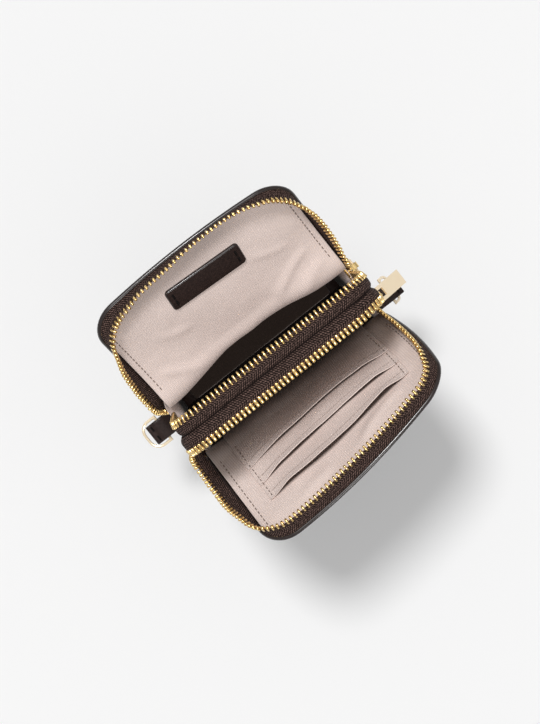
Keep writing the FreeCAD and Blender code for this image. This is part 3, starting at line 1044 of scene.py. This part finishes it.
@dataclass
class LiningBag:
    """One compartment's lining: flap, outer wall and floor in one length, divider's facing, two end walls."""

    space: FlapSpace
    inset: float = 1.6
    bag_half: float = 55.6
    floor: float = 3.0
    off: float = 0.55
    thickness: float = 0.5
    columns: int = 56
    rows: int = 110
    cut_share: float = 0.965
    floor_inset: float = 7.0
    floor_gap: float = 2.2
    facing_off: float = 1.25
    end_inset: float = 3.4
    end_tall: float = 107.0
    seam_inset: float = 3.3
    seam_rise: float = 7.0
    seam_length: float = 56.0
    seam_pitch: float = 2.75
    seam_lift: float = 0.28
    # Height of the top card slot's hem; below it, shadow is painted on the lining inside the slot.
    hem: float = 0.0
    # Height at which the painted shade deep in the compartment is darkest.
    dusk: float = 74.0
    slack: float = 0.0
    # Share of its colour the divider facing keeps; the rest is painted shade.
    shade: float = 1.0
    # How dark the shadow painted under the zip along the lining's top edge is.
    rim: float = 0.0
    creases: tuple[tuple[float, float, float, float, float], ...] = ()

    def depth_at(self, x: float, z: float) -> float:
        """How far the cloth stands off the leather on the flap and just below the fold.

        Args:
            x: Along the width.
            z: Height with the flap shut.

        Returns:
            The distance from the leather's inner face.
        """
        seed = 11.3 if self.space.side is Side.REAR else 23.9
        share = abs(x) / self.space.outline.half
        puff = 1.1 * (1 - share ** 2) * ease(z, 112, 130) * ease(z, 178, 164)
        folds = 1.25 * ripple(x * 0.7 + z * 0.6, z * 0.6 - x * 0.35, seed, 21) * ease(z, 176, 166)
        fine = 0.22 * ripple(x, z, seed + 5, 7)
        if self.space.side is Side.REAR:
            gather = (0.8 + 5.8 * ease(abs(x + 4), 8, 52)) * bump(z, 105, 15)
        else:
            gather = 1.6 * ease(abs(x), 30, 56) * bump(z, 106, 12)
        for x0, z0, x1, z1, rise in self.creases:
            length = math.hypot(x1 - x0, z1 - z0)
            along = ((x - x0) * (x1 - x0) + (z - z0) * (z1 - z0)) / length
            off = ((x - x0) * (z1 - z0) - (z - z0) * (x1 - x0)) / length
            bend = 2.0 * math.sin(math.pi * min(max(along / length, 0), 1))
            folds += rise * bump(off, bend, 2.4) * smooth(along / 9) * smooth((length - along) / 9)
        return self.off + puff + (folds + fine) * ease(abs(x), 58, 52) + gather

    def build(self, finishes: Finishes) -> None:
        """Make and fit the lining and its stitches.

        Args:
            finishes: The pouch's materials.
        """
        space, outline, word = self.space, self.space.outline, self.space.side.word
        sign, wide = space.side.value, 2 * (outline.half - self.inset)
        flap_top = outline.top - self.inset
        drop = flap_top - self.floor
        length = drop + space.face_y - self.floor_gap

        def place(across: float, along: float) -> Vector:
            """The surface's place at shares of its two directions."""
            run, share = along * length, 2 * across - 1
            if run < drop:
                z = flap_top - run
                x = share * min(outline.half_at(z, self.inset), self.bag_half + ease(z, 92, 114) * 4)
                depth = self.depth_at(x, z)
                if z <= 60:
                    depth = self.off + (self.depth_at(x, 60) - self.off) * z / 60
                return space.place(x, depth, z)
            near = run - drop
            x = share * (self.bag_half - self.floor_inset)
            y = sign * (space.face_y - self.off - near)
            return Vector((x, y, self.floor + 0.2 * ripple(x, near, 4, 9)))

        def tone(across: float, along: float) -> float:
            """The share of its colour the cloth keeps under painted shade, from 0 in the depth to 1."""
            z, x = flap_top - along * length, (2 * across - 1) * outline.half
            behind = 1.0
            # Painted shadow inside the top card slot, on the lining below its hem.
            if abs(x) < 43 and z > space.fold_z:
                behind -= 0.9 * smooth((self.hem - z) / 1.2)
            # Painted shadow under the zip along the flap's top edge.
            rim = 1 - self.rim * (1 - smooth((flap_top - 5 - z) / 13)) * ease(x, 44, 14)
            # Painted shade, darker down into the compartment.
            return behind * rim * smooth((z - self.dusk) / 42)

        sheet = cloth(self.columns, self.rows, (wide, length), place, tone)
        skin = finished(sheet, f"{word}_lining_cloth", finishes.lining, "lining")
        thicken(skin, self.thickness)
        space.blend(skin)
        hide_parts(f"{word}_flap_lining", f"{word}_lining")
        facing = self.build_facing(finishes)
        ends = self.build_ends(finishes)
        seam = self.build_seam(finishes)

    def build_facing(self, finishes: Finishes) -> Piece:
        """The wall against the divider, which hangs a little loose behind its row of teeth.

        Args:
            finishes: The pouch's materials.

        Returns:
            The piece.
        """
        outline, sign, word = self.space.outline, self.space.side.value, self.space.side.word
        tall = outline.top - self.end_inset - self.floor

        def place(across: float, along: float) -> Vector:
            """The surface's place at shares of its two directions."""
            z, share = self.floor + tall * along, 2 * across - 1
            x = share * min(outline.half_at(z, self.end_inset), self.bag_half)
            slack = self.slack * ease(z, 96, 144) * ease(z, 178, 166) * (1 - abs(share) ** 5)
            billow = slack * (1 + 0.22 * ripple(x, z, 31.7 * sign, 30))
            billow += 0.4 * ripple(x, z, 12.1, 22) * ease(z, 170, 150)
            return Vector((x, sign * (self.facing_off + max(billow, -0.3)), z))

        def tone(_: float, along: float) -> float:
            """The share of its colour the cloth keeps under painted shade, from 0 in the depth to 1."""
            # Painted shade: the facing keeps at most its side's share of colour, and goes dark further down.
            return self.shade * ease(tall * along, 81, 141)

        sheet = cloth(40, 70, (2 * self.bag_half, tall), place, tone)
        wall = finished(sheet, f"{word}_divider_lining", finishes.lining, "lining")
        thicken(wall, self.thickness)
        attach(wall, "pouch_body")
        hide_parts(f"divider_{word}_facing")
        return wall

    def build_ends(self, finishes: Finishes) -> Piece:
        """The two end walls of the bag, their tops rolled out over the foot of the zip.

        Args:
            finishes: The pouch's materials.

        Returns:
            The piece.
        """
        sign, face = self.space.side.value, self.space.face_y
        walls = []

        def tone(_: float, along: float) -> float:
            """The share of its colour the cloth keeps under painted shade, from 0 in the depth to 1."""
            # Painted shade: dark up to seven tenths of the wall's height, brightening to the top.
            return smooth((along - 0.7) / 0.3)

        for hand in Hand:
            lobe = 4.6 if self.space.side is Side.REAR and hand is Hand.LEFT else 2.2

            def place(across: float, along: float) -> Vector:
                """The surface's place at shares of its two directions."""
                z = self.floor + self.end_tall * along
                y = 1.2 + (face - 2.0) * across
                roll, arch = ease(z, 94, 110), math.sin(math.pi * across)
                x = self.bag_half - 0.6 - arch * 1.6 * ease(z, 40, 90) * (1 - roll)
                x += lobe * roll * arch ** 0.5
                return Vector((hand.value * x, sign * y, z - 3.0 * roll ** 3 - 1.5 * roll * (1 - arch)))
            walls.append(cloth(14, 40, (face - 1.5, self.end_tall), place, tone))
        ends = finished(merge(walls), f"{self.space.side.word}_lining_ends", finishes.lining, "lining")
        thicken(ends, self.thickness)
        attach(ends, "pouch_body")
        return ends

    def build_seam(self, finishes: Finishes) -> Piece:
        """The row of stitches that holds the lining's edge round the flap.

        Args:
            finishes: The pouch's materials.

        Returns:
            The piece.
        """
        outline, inset = self.space.outline, self.inset + self.seam_inset
        rows: list[Matrix] = []
        for hand in Hand:
            def line(along: float) -> Vector:
                """The seam's place at a distance along it."""
                z = self.space.fold_z + self.seam_rise + along
                x = hand.value * outline.half_at(z, inset)
                return self.space.place(x, self.depth_at(x, z) + self.seam_lift, z)
            rows += sewn(line, self.seam_length, self.seam_pitch, self.space.facing(150))
        name = f"{self.space.side.word}_lining_stitches"
        thread = Stitching(finishes.lining_thread, "lining", length=1.75, thick=0.42)
        return thread.sew(name, rows, self.space.flap)


def tooth_shape(width: float, length: float) -> Shape:
    """One cast tooth, a blunt bar over the edge of the tape, pointing along Y.

    Args:
        width: Along the tape.
        length: Across the tape's edge.

    Returns:
        The shape, thinner towards its tip.
    """
    tip, thick, taper = 1.85, 2.3, 0.22
    shape = block((width, length, thick), (0, tip - length / 2, 0), 0.3)
    for vert in shape.verts:
        vert.co.z *= 1 - taper * smooth((vert.co.y + 0.6) / 2.2)
    return shape


@dataclass
class ZipRow:
    """A length of woven tape with its row of teeth, along the edge of a panel."""

    outline: Outline
    surface: Callable[[float, float], Vector]
    name: str
    low: float = 92.2
    thickness: float = 0.6
    pitch: float = 2.6
    shift: float = 0.0
    bare_end: float = 4.2
    columns: int = 220
    rows: int = 8
    tooth: tuple[float, float] = (1.25, 3.2)
    look_step: float = 0.2

    def build(self, finishes: Finishes) -> tuple[Piece, Piece]:
        """Make the tape and its teeth.

        Args:
            finishes: The pouch's materials.

        Returns:
            The tape and the row of teeth.
        """
        reach = self.outline.reach(ZIP_INSET, self.low)

        def place(along: float, across: float) -> Vector:
            """The surface's place at shares of its two directions."""
            return self.surface((2 * along - 1) * reach, across * TAPE_WIDTH)

        sheet = cloth(self.columns, self.rows, (2 * reach, TAPE_WIDTH), place)
        tape = finished(sheet, f"{self.name}_zip_tape", finishes.tape, "zip_tape")
        thicken(tape, self.thickness)
        row = copies(tooth_shape(*self.tooth), self.spots(reach - self.bare_end))
        return tape, finished(row, f"{self.name}_zip_teeth", finishes.gold, "zip_metal")

    def spots(self, reach: float) -> list[Matrix]:
        """Even steps along the tape's free edge, from the middle of the top towards both ends.

        Args:
            reach: Where the teeth end, along the panel's edge.

        Returns:
            One matrix for each tooth.
        """
        places = []
        for way in (1, -1):
            last, gone = self.surface(0.0, TAPE_WIDTH), 0.0
            due = self.shift * self.pitch or (0.0 if way > 0 else self.pitch)
            for i in range(int(reach / self.look_step)):
                along = way * self.look_step * i
                spot = self.surface(along, TAPE_WIDTH)
                gone += (spot - last).length
                last = spot
                if gone >= due:
                    step = self.surface(along + 0.5, TAPE_WIDTH) - self.surface(along - 0.5, TAPE_WIDTH)
                    places.append(axes(spot, step, spot - self.surface(along, TAPE_WIDTH - 1.2)))
                    due += self.pitch
        return places


@dataclass
class Divider:
    """The middle wall's two zip rows, sewn back to back into a groove."""

    outline: Outline = field(default_factory=Outline)
    groove: float = 1.4
    crown: float = 0.45
    half_gap: float = 0.15
    front_slip: float = -1.8
    front_spread: float = 0.16
    rear_tooth: tuple[float, float] = (1.05, 3.9)
    front_tooth: tuple[float, float] = (1.6, 4.1)

    def surface(self, side: Side) -> Callable[[float, float], Vector]:
        """The tape's surface on one side of the groove.

        Args:
            side: Which compartment it closes.

        Returns:
            A function of the distance along the edge and out from the groove.
        """
        def place(along: float, out: float) -> Vector:
            """The tape's place at a distance along the edge and out from the groove."""
            x, z, turn = self.outline.at(along, ZIP_INSET)
            sink = self.groove * (1 - smooth(out / 1.3))
            sink -= self.crown * math.sin(math.pi * min(out / TAPE_WIDTH, 1))
            sink += 0.16 * ripple(along * 1.6, out, 2.2 * side.value, 3.2)
            loose = 1 - smooth(turn) if side is Side.FRONT else 0.0
            slip = self.front_slip * ease(z, 120, 160) * loose
            spread = 1 + self.front_spread * ease(z, 112, 152) * loose
            return Vector((x - math.sin(turn) * sink + slip, side.value * (self.half_gap + out * spread),
                           z - math.cos(turn) * sink))
        return place

    def build(self, finishes: Finishes) -> None:
        """Make and fit both rows.

        Args:
            finishes: The pouch's materials.
        """
        for side in Side:
            tooth = self.rear_tooth if side is Side.REAR else self.front_tooth
            row = ZipRow(self.outline, self.surface(side), f"divider_{side.word}", tooth=tooth)
            tape, teeth = row.build(finishes)
            for piece, node in ((tape, "tape"), (teeth, "teeth")):
                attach(piece, "pouch_body")
                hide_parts(f"divider_{side.word}_{node}")


@dataclass
class FlapZip:
    """The zip row round one flap, which leans in over the lining and bows out along the ends."""

    space: FlapSpace
    lean: Sequence[tuple[float, float]]

    def surface(self, along: float, out: float) -> Vector:
        """The tape's surface.

        Args:
            along: Distance along the edge from the middle of the top.
            out: Distance from the leather.

        Returns:
            The place in the frame.
        """
        outline = self.space.outline
        x, z, turn = outline.at(along, ZIP_INSET)
        reach = outline.reach(ZIP_INSET, self.space.fold_z)
        tilt = math.radians(between(self.lean, along / reach))
        share = out / TAPE_WIDTH
        inward = out * math.sin(tilt) + 0.5 * math.sin(math.pi * share) * math.cos(tilt)
        inward += 0.18 * ripple(along * 1.5, out, 5.5 + self.space.side.value, 3.0) * share
        depth = out * math.cos(tilt) + 1.6 * share * smooth((self.space.fold_z - 2 - z) / 14)
        return self.space.place(x - math.sin(turn) * inward, depth, z - math.cos(turn) * inward)

    def build(self, finishes: Finishes) -> None:
        """Make and fit the row.

        Args:
            finishes: The pouch's materials.
        """
        word = self.space.side.word
        tape, teeth = ZipRow(self.space.outline, self.surface, f"{word}_flap", shift=0.5).build(finishes)
        for piece in (tape, teeth):
            self.space.blend(piece)
        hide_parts(f"{word}_flap_tape", f"{word}_tail_tapes")
        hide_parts(f"{word}_flap_teeth", f"{word}_tail_teeth")


@dataclass
class LabelPatch:
    """The bare leather plate sewn on the rear flap's lining."""

    space: FlapSpace
    lining: LiningBag
    length: float = 43.6
    height: float = 13.8
    thickness: float = 2.2
    corner: float = 2.2
    edge: float = 0.95
    lift: float = 0.75
    middle: float = 157.2
    lean: float = 3.6
    seam_inset: float = 3.2
    seam_half: float = 2.3

    def build(self, finishes: Finishes) -> None:
        """Make and fit the plate and its four stitches.

        Args:
            finishes: The pouch's materials.
        """
        depth = self.lining.depth_at(0, self.middle) + self.lift
        at = self.space.place(0, depth, self.middle)
        across = self.space.place(5, depth, self.middle) - self.space.place(-5, depth, self.middle)
        up = self.space.place(0, depth, self.middle + 5) - self.space.place(0, depth, self.middle - 5)
        seat = axes(at, -across, up) @ Matrix.Rotation(math.radians(self.lean), 4, "Z")
        shape = plate(self.length, self.height, self.thickness, self.corner, self.edge)
        bmesh.ops.transform(shape, matrix=seat, verts=shape.verts)
        patch = finished(shape, "label_patch", finishes.leather, "leather")
        patch.data.materials.append(finishes.edge)
        for face in patch.data.polygons:
            if abs(face.normal.dot(seat.col[2].xyz)) < 0.9:
                face.material_index = 1
        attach(patch, self.space.flap)
        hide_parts("label_plate")
        turned = Matrix.Rotation(math.pi / 2, 4, "Z") @ Matrix.Rotation(math.pi, 4, "X")
        far, side = self.length / 2 - self.seam_inset, self.seam_half
        rows = [seat @ (Matrix.Translation((x, y, -self.thickness / 2)) @ turned)
                for x in (-far, far) for y in (-side, side)]
        thread = Stitching(finishes.leather_thread, "leather", length=3.4, thick=0.9)
        thread.sew("label_stitches", rows, self.space.flap)


@dataclass
class CardSlots:
    """Three stepped card slots on the front flap's lining, with turned hems that gape a little."""

    space: FlapSpace
    lining: LiningBag
    half: float = 45.4
    hems: tuple[float, float, float] = (157.3, 147.2, 135.4)
    sags: tuple[float, float, float] = (0.4, 3.4, 3.2)
    layer: float = 0.55
    gapes: tuple[float, float, float] = (3.4, 2.7, 2.4)
    foot: float = 70.0
    thickness: float = 0.5
    columns: int = 60
    rows: int = 64
    seam_inset: float = 2.0
    seam_pitch: float = 2.6
    hem_seam_drop: float = 3.6
    hem_seam_inset: float = 3.5
    hem_seam_pitch: float = 2.3

    def depth_at(self, step: int, x: float, z: float) -> float:
        """How far a slot's cloth stands off the leather.

        Args:
            step: Which slot, from the top.
            x: Along the width.
            z: Height with the flap shut.

        Returns:
            The distance from the leather's inner face.
        """
        hem = self.hems[step]
        held = smooth((self.half - self.seam_inset - abs(x)) / 13)
        lips = self.gapes[step] * held * math.exp(-max(hem - z, 0) / 6.0)
        lips *= 0.85 + 0.5 * ripple(x, step * 9, 41, 24)
        turned = 0.45 * smooth((z - hem + 4.4) / 0.9)
        wave = 0.3 * ripple(x, z, 51 + step, 15) * held
        return self.lining.depth_at(x, z) + 0.35 + self.layer * (step + 1) + lips + turned + wave

    def drift(self, step: int, x: float, z: float) -> float:
        """How far a slot's cloth sags between its side seams, by slot, width and height."""
        sag = 0.9 * ripple(x, step * 5, 61, 30) - self.sags[step] * (1 - (x / self.half) ** 2)
        return sag * smooth((z - self.hems[step] + 16) / 14)

    def build(self, finishes: Finishes) -> None:
        """Make and fit the three slots, then their seams.

        Args:
            finishes: The pouch's materials.
        """
        for step, word in enumerate(("upper", "middle", "lower")):
            hem = self.hems[step]
            low = self.foot if word == "lower" else self.space.fold_z + 4

            def height(along: float) -> float:
                """The height at a share of the length, in finer steps towards the hem."""
                return low + (hem - low) * (1 - (1 - along) ** 1.7)

            def place(across: float, along: float) -> Vector:
                """The surface's place at shares of its two directions."""
                x, z = (2 * across - 1) * self.half, height(along)
                return self.space.place(x, self.depth_at(step, x, z), z + self.drift(step, x, z))

            def tone(across: float, along: float) -> float:
                """The share of its colour the cloth keeps under painted shade, from 0 in the depth to 1."""
                x, z = (2 * across - 1) * self.half, height(along)
                # Painted shade: the lower slot darkens towards the bottom of the compartment.
                if word == "lower":
                    return ease(z, 104, 133)
                # Painted shadow under the next slot's hem.
                lip = self.hems[step + 1] + self.drift(step + 1, x, self.hems[step + 1])
                return 1 - 0.9 * smooth((lip - z) / 1.2) * smooth((1 - abs(2 * across - 1)) / 0.1)

            sheet = cloth(self.columns, self.rows, (2 * self.half, hem - low), place, tone)
            slot = finished(sheet, f"card_slot_{word}", finishes.lining, "lining")
            thicken(slot, self.thickness)
            if word == "lower":
                self.space.blend(slot)
                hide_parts("card_pocket_lower", "card_pocket_foot")
            else:
                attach(slot, self.space.flap)
                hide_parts(f"card_pocket_{word}")
        self.sew(finishes)

    def sew(self, finishes: Finishes) -> None:
        """The stitches down both sides and along each hem.

        Args:
            finishes: The pouch's materials.
        """
        facing = self.space.facing(140)
        rows: list[Matrix] = []

        def on_top(x: float, z: float) -> float:
            """How far the uppermost cloth stands off the leather."""
            steps = [s for s, hem in enumerate(self.hems) if z < hem]
            return self.depth_at(steps[-1], x, z) if steps else self.lining.depth_at(x, z)

        for hand in Hand:
            def down(along: float) -> Vector:
                """The side seam's place at a distance down from the upper hem."""
                x, z = hand.value * (self.half - self.seam_inset), self.hems[0] - 1.2 - along
                return self.space.place(x, on_top(x, z) + 0.25, z)
            rows += sewn(down, self.hems[0] - self.space.fold_z - 8, self.seam_pitch, facing)
        thread = Stitching(finishes.lining_thread, "lining", length=1.6, thick=0.36)
        thread.sew("card_slot_stitches", rows, self.space.flap)
        rows = []
        for step, hem in enumerate(self.hems):
            def across(along: float) -> Vector:
                """The hem seam's place at a distance from its left end."""
                x, z = along - self.half + self.hem_seam_inset, hem - self.hem_seam_drop
                return self.space.place(x, self.depth_at(step, x, z) + 0.2, z + self.drift(step, x, z))
            rows += sewn(across, 2 * (self.half - self.hem_seam_inset), self.hem_seam_pitch, facing)
        thread = Stitching(finishes.hem_thread, "lining", length=1.7, thick=0.32)
        thread.sew("card_hem_stitches", rows, self.space.flap)


@dataclass
class StrapLoop:
    """The folded and stitched leather loop that holds a strap ring."""

    hand: Hand
    width: float = 11.4
    nose: float = 6.2
    root: float = 57.6
    fold: float = 0.62
    thickness: float = 1.1
    stitch_lift: float = 0.62
    stitch_half: float = 3.0
    columns: int = 10
    rows: int = 56

    def build(self, finishes: Finishes) -> None:
        """Make and fit the loop and its stitches.

        Args:
            finishes: The pouch's materials.
        """
        word, out = self.hand.word, self.hand.value
        low, high = (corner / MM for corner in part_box(f"{word}_ring_tab"))
        y, z = (low.y + high.y) / 2, (low.z + high.z) / 2
        eye = (high.z - low.z) / 2 - self.thickness / 2
        bar = (high.x if out > 0 else -low.x) - eye - self.thickness / 2
        root, end, fold = self.root, bar + self.nose, self.fold
        run = end - root

        def gap(x: float) -> float:
            """How far the loop's two layers stand from its middle."""
            opened = smooth((x - root - 3.5) / (bar - root - 5)) * (1 - smooth((x - bar - 1.6) / 3.2))
            return fold + (eye - fold) * opened

        def place(across: float, along: float) -> Vector:
            """The surface's place at shares of its two directions."""
            total = 2 * run + math.pi * fold
            spot = along * total
            side = (2 * across - 1) * self.width / 2
            if spot < run or spot > run + math.pi * fold:
                x = root + (spot if spot < run else total - spot)
                sign = 1 if spot < run else -1
                return Vector((out * x, y + side, z + sign * gap(x)))
            turn = (spot - run) / fold
            return Vector((out * (end + fold * math.sin(turn)), y + side, z + fold * math.cos(turn)))

        sheet = cloth(self.columns, self.rows, (self.width, 2 * run), place)
        loop = finished(sheet, f"{word}_strap_loop", finishes.leather, "leather")
        thicken(loop, self.thickness)
        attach(loop, "pouch_body")
        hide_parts(f"{word}_ring_tab")
        turned = Matrix.Rotation(math.pi / 2, 4, "Z")
        rows = [Matrix.Translation((out * x, y + side, z + gap(x) + self.stitch_lift)) @ turned
                for x in (root + 3.4, end - 1.6) for side in (-self.stitch_half, self.stitch_half)]
        thread = Stitching(finishes.leather_thread, "leather", length=3.2, thick=0.8)
        thread.sew(f"{word}_loop_stitches", rows, "pouch_body")


@dataclass
class KeptNodes:
    """Solids of the frame that show as they are, each with its finish."""

    gold: tuple[str, ...] = ("rear_slider", "front_slider", "rear_slider_crown", "front_slider_crown",
                             "rear_zip_stops", "front_zip_stops")
    pale: tuple[str, ...] = ("rear_puller", "front_puller", "left_ring", "right_ring")
    tape: tuple[str, ...] = ("divider_board",)
    board: tuple[str, ...] = ("rear_base_board", "front_base_board")

    def dress(self, finishes: Finishes) -> None:
        """Give each solid its material.

        Args:
            finishes: The pouch's materials.
        """
        for names, material in ((self.gold, finishes.gold), (self.pale, finishes.pale),
                                (self.tape, finishes.tape), (self.board, finishes.board)):
            for name in names:
                mesh = frame["nodes"][name].data
                mesh.materials.clear()
                mesh.materials.append(material)
                log.info("%s: kept", name)


@dataclass
class Studio:
    """The pale floor, the soft light from the upper left and the camera above the open pouch."""

    turn: float = 38.5
    tilt: float = 3.5
    distance: float = 900.0
    lens: float = 94.4
    aim: tuple[float, float, float] = (0.0, 0.0, 178.5)
    off_right: float = 4.0
    off_up: float = -0.5
    floor_tone: float = 0.87
    backdrop: float = 0.93
    panel: float = 4.6
    key: tuple[float, float, float] = (0.015, 0.47, 1.0)

    def build(self) -> None:
        """Set up the floor, the lamps, the sky and the camera."""
        scene = bpy.context.scene
        scene.view_settings.view_transform = "Standard"
        self.floor()
        self.sky(scene)
        self.lamp("key", self.key, 12.0, 1.75)
        self.lamp("fill", (0.0, -0.67, 0.74), 20.0, 1.05, casts=False)
        self.camera(scene)

    def floor(self) -> None:
        """A wide pale floor."""
        shape = bmesh.new()
        bmesh.ops.create_grid(shape, x_segments=1, y_segments=1, size=4)
        mesh = bpy.data.meshes.new("floor")
        shape.to_mesh(mesh)
        shape.free()
        floor = bpy.data.objects.new("floor", mesh)
        bpy.context.scene.collection.objects.link(floor)
        pen = NodePen("floor")
        cloud = pen.noise(pen.place(), 2.0)
        tone = self.floor_tone
        pale = pen.blend(cloud, (tone,) * 3, (tone + 0.01,) * 3)
        pen.set({"Base Color": pale, "Roughness": 0.9, "Specular IOR Level": 0.1})
        mesh.materials.append(pen.material)

    def sky(self, scene: bpy.types.Scene) -> None:
        """Soft light from all round, brighter overhead, and plain pale behind the floor.

        Args:
            scene: The scene to light.
        """
        world = bpy.data.worlds.new("studio")
        scene.world = world
        world.use_nodes = True
        pen = Pen(world.node_tree)
        back = next(n for n in pen.tree.nodes if n.type == "BACKGROUND")
        way = pen.add("TexCoord").outputs["Generated"]
        rise = pen.add("SeparateXYZ", {0: way}).outputs["Z"]
        toward = pen.add("VectorMath", {0: way, 1: Vector(self.key).normalized()}, operation="DOT_PRODUCT")
        soft = pen.ramp(rise, (-0.1, 1.0), (0.17, 0.38))
        shine = pen.ramp(rise, (-0.2, 1.0), (0.16, 0.8))
        near = pen.ramp(toward.outputs["Value"], (0.9, 0.985), (0.0, 1.0))
        shine = pen.mix(near, shine, self.panel)
        path = pen.add("LightPath").outputs
        glossy = pen.mix(path["Is Glossy Ray"], soft, shine)
        seen = pen.mix(path["Is Camera Ray"], glossy, self.backdrop)
        pen.feed(back, {"Color": (1, 1, 1, 1), "Strength": seen})

    def lamp(self, name: str, way: Sequence[float], spread: float, strength: float,
             casts: bool = True) -> None:
        """A distant lamp.

        Args:
            name: The lamp's name.
            way: The direction towards it.
            spread: The angle that it fills, in degrees.
            strength: Its strength.
            casts: Whether it casts shadows.
        """
        light = bpy.data.lights.new(name, "SUN")
        light.use_shadow = casts
        light.angle = math.radians(spread)
        light.energy = strength
        lamp = bpy.data.objects.new(name, light)
        lamp.location = Vector(way)
        lamp.rotation_euler = (-Vector(way)).to_track_quat("-Z", "Y").to_euler()
        bpy.context.scene.collection.objects.link(lamp)

    def camera(self, scene: bpy.types.Scene) -> None:
        """Look down on the pouch from a little behind, turned as in the photograph.

        Args:
            scene: The scene to look at.
        """
        tilt, turn = math.radians(self.tilt), math.radians(self.turn)
        back = Vector((0, math.sin(tilt), math.cos(tilt)))
        across, rear = Vector((1, 0, 0)), Vector((0, math.cos(tilt), -math.sin(tilt)))
        right = across * math.cos(turn) - rear * math.sin(turn)
        up = across * math.sin(turn) + rear * math.cos(turn)
        lens = bpy.data.cameras.new("camera")
        lens.lens = self.lens
        lens.sensor_width = 36.0
        camera = bpy.data.objects.new("camera", lens)
        at = Vector(self.aim) - right * self.off_right - up * self.off_up + back * self.distance
        camera.matrix_world = Matrix.Translation(at * MM) @ Matrix((right, up, back)).transposed().to_4x4()
        scene.collection.objects.link(camera)
        scene.camera = camera


def main() -> None:
    """Build the pouch from the shell inwards, then the studio."""
    logging.basicConfig(level=logging.INFO, format="%(message)s")
    finishes = make_finishes()
    spaces = make_spaces()
    for space in spaces.values():
        LeatherShell(space).build(finishes)
    SideGusset().build(finishes)
    # Both linings get painted shade in the depth; the rear also under its zip, the front under its card
    # slots.
    linings = {
        Side.REAR: LiningBag(spaces[Side.REAR], slack=2.6, shade=0.3, rim=0.28, creases=REAR_CREASES),
        Side.FRONT: LiningBag(spaces[Side.FRONT], hem=157.3, dusk=96.0, shade=0.5, creases=FRONT_CREASES),
    }
    for lining in linings.values():
        lining.build(finishes)
    Divider().build(finishes)
    FlapZip(spaces[Side.REAR], REAR_LEAN).build(finishes)
    FlapZip(spaces[Side.FRONT], FRONT_LEAN).build(finishes)
    LabelPatch(spaces[Side.REAR], linings[Side.REAR]).build(finishes)
    CardSlots(spaces[Side.FRONT], linings[Side.FRONT]).build(finishes)
    for hand in Hand:
        StrapLoop(hand).build(finishes)
    KeptNodes().dress(finishes)
    Studio().build()


if __name__ == "__main__":
    main()
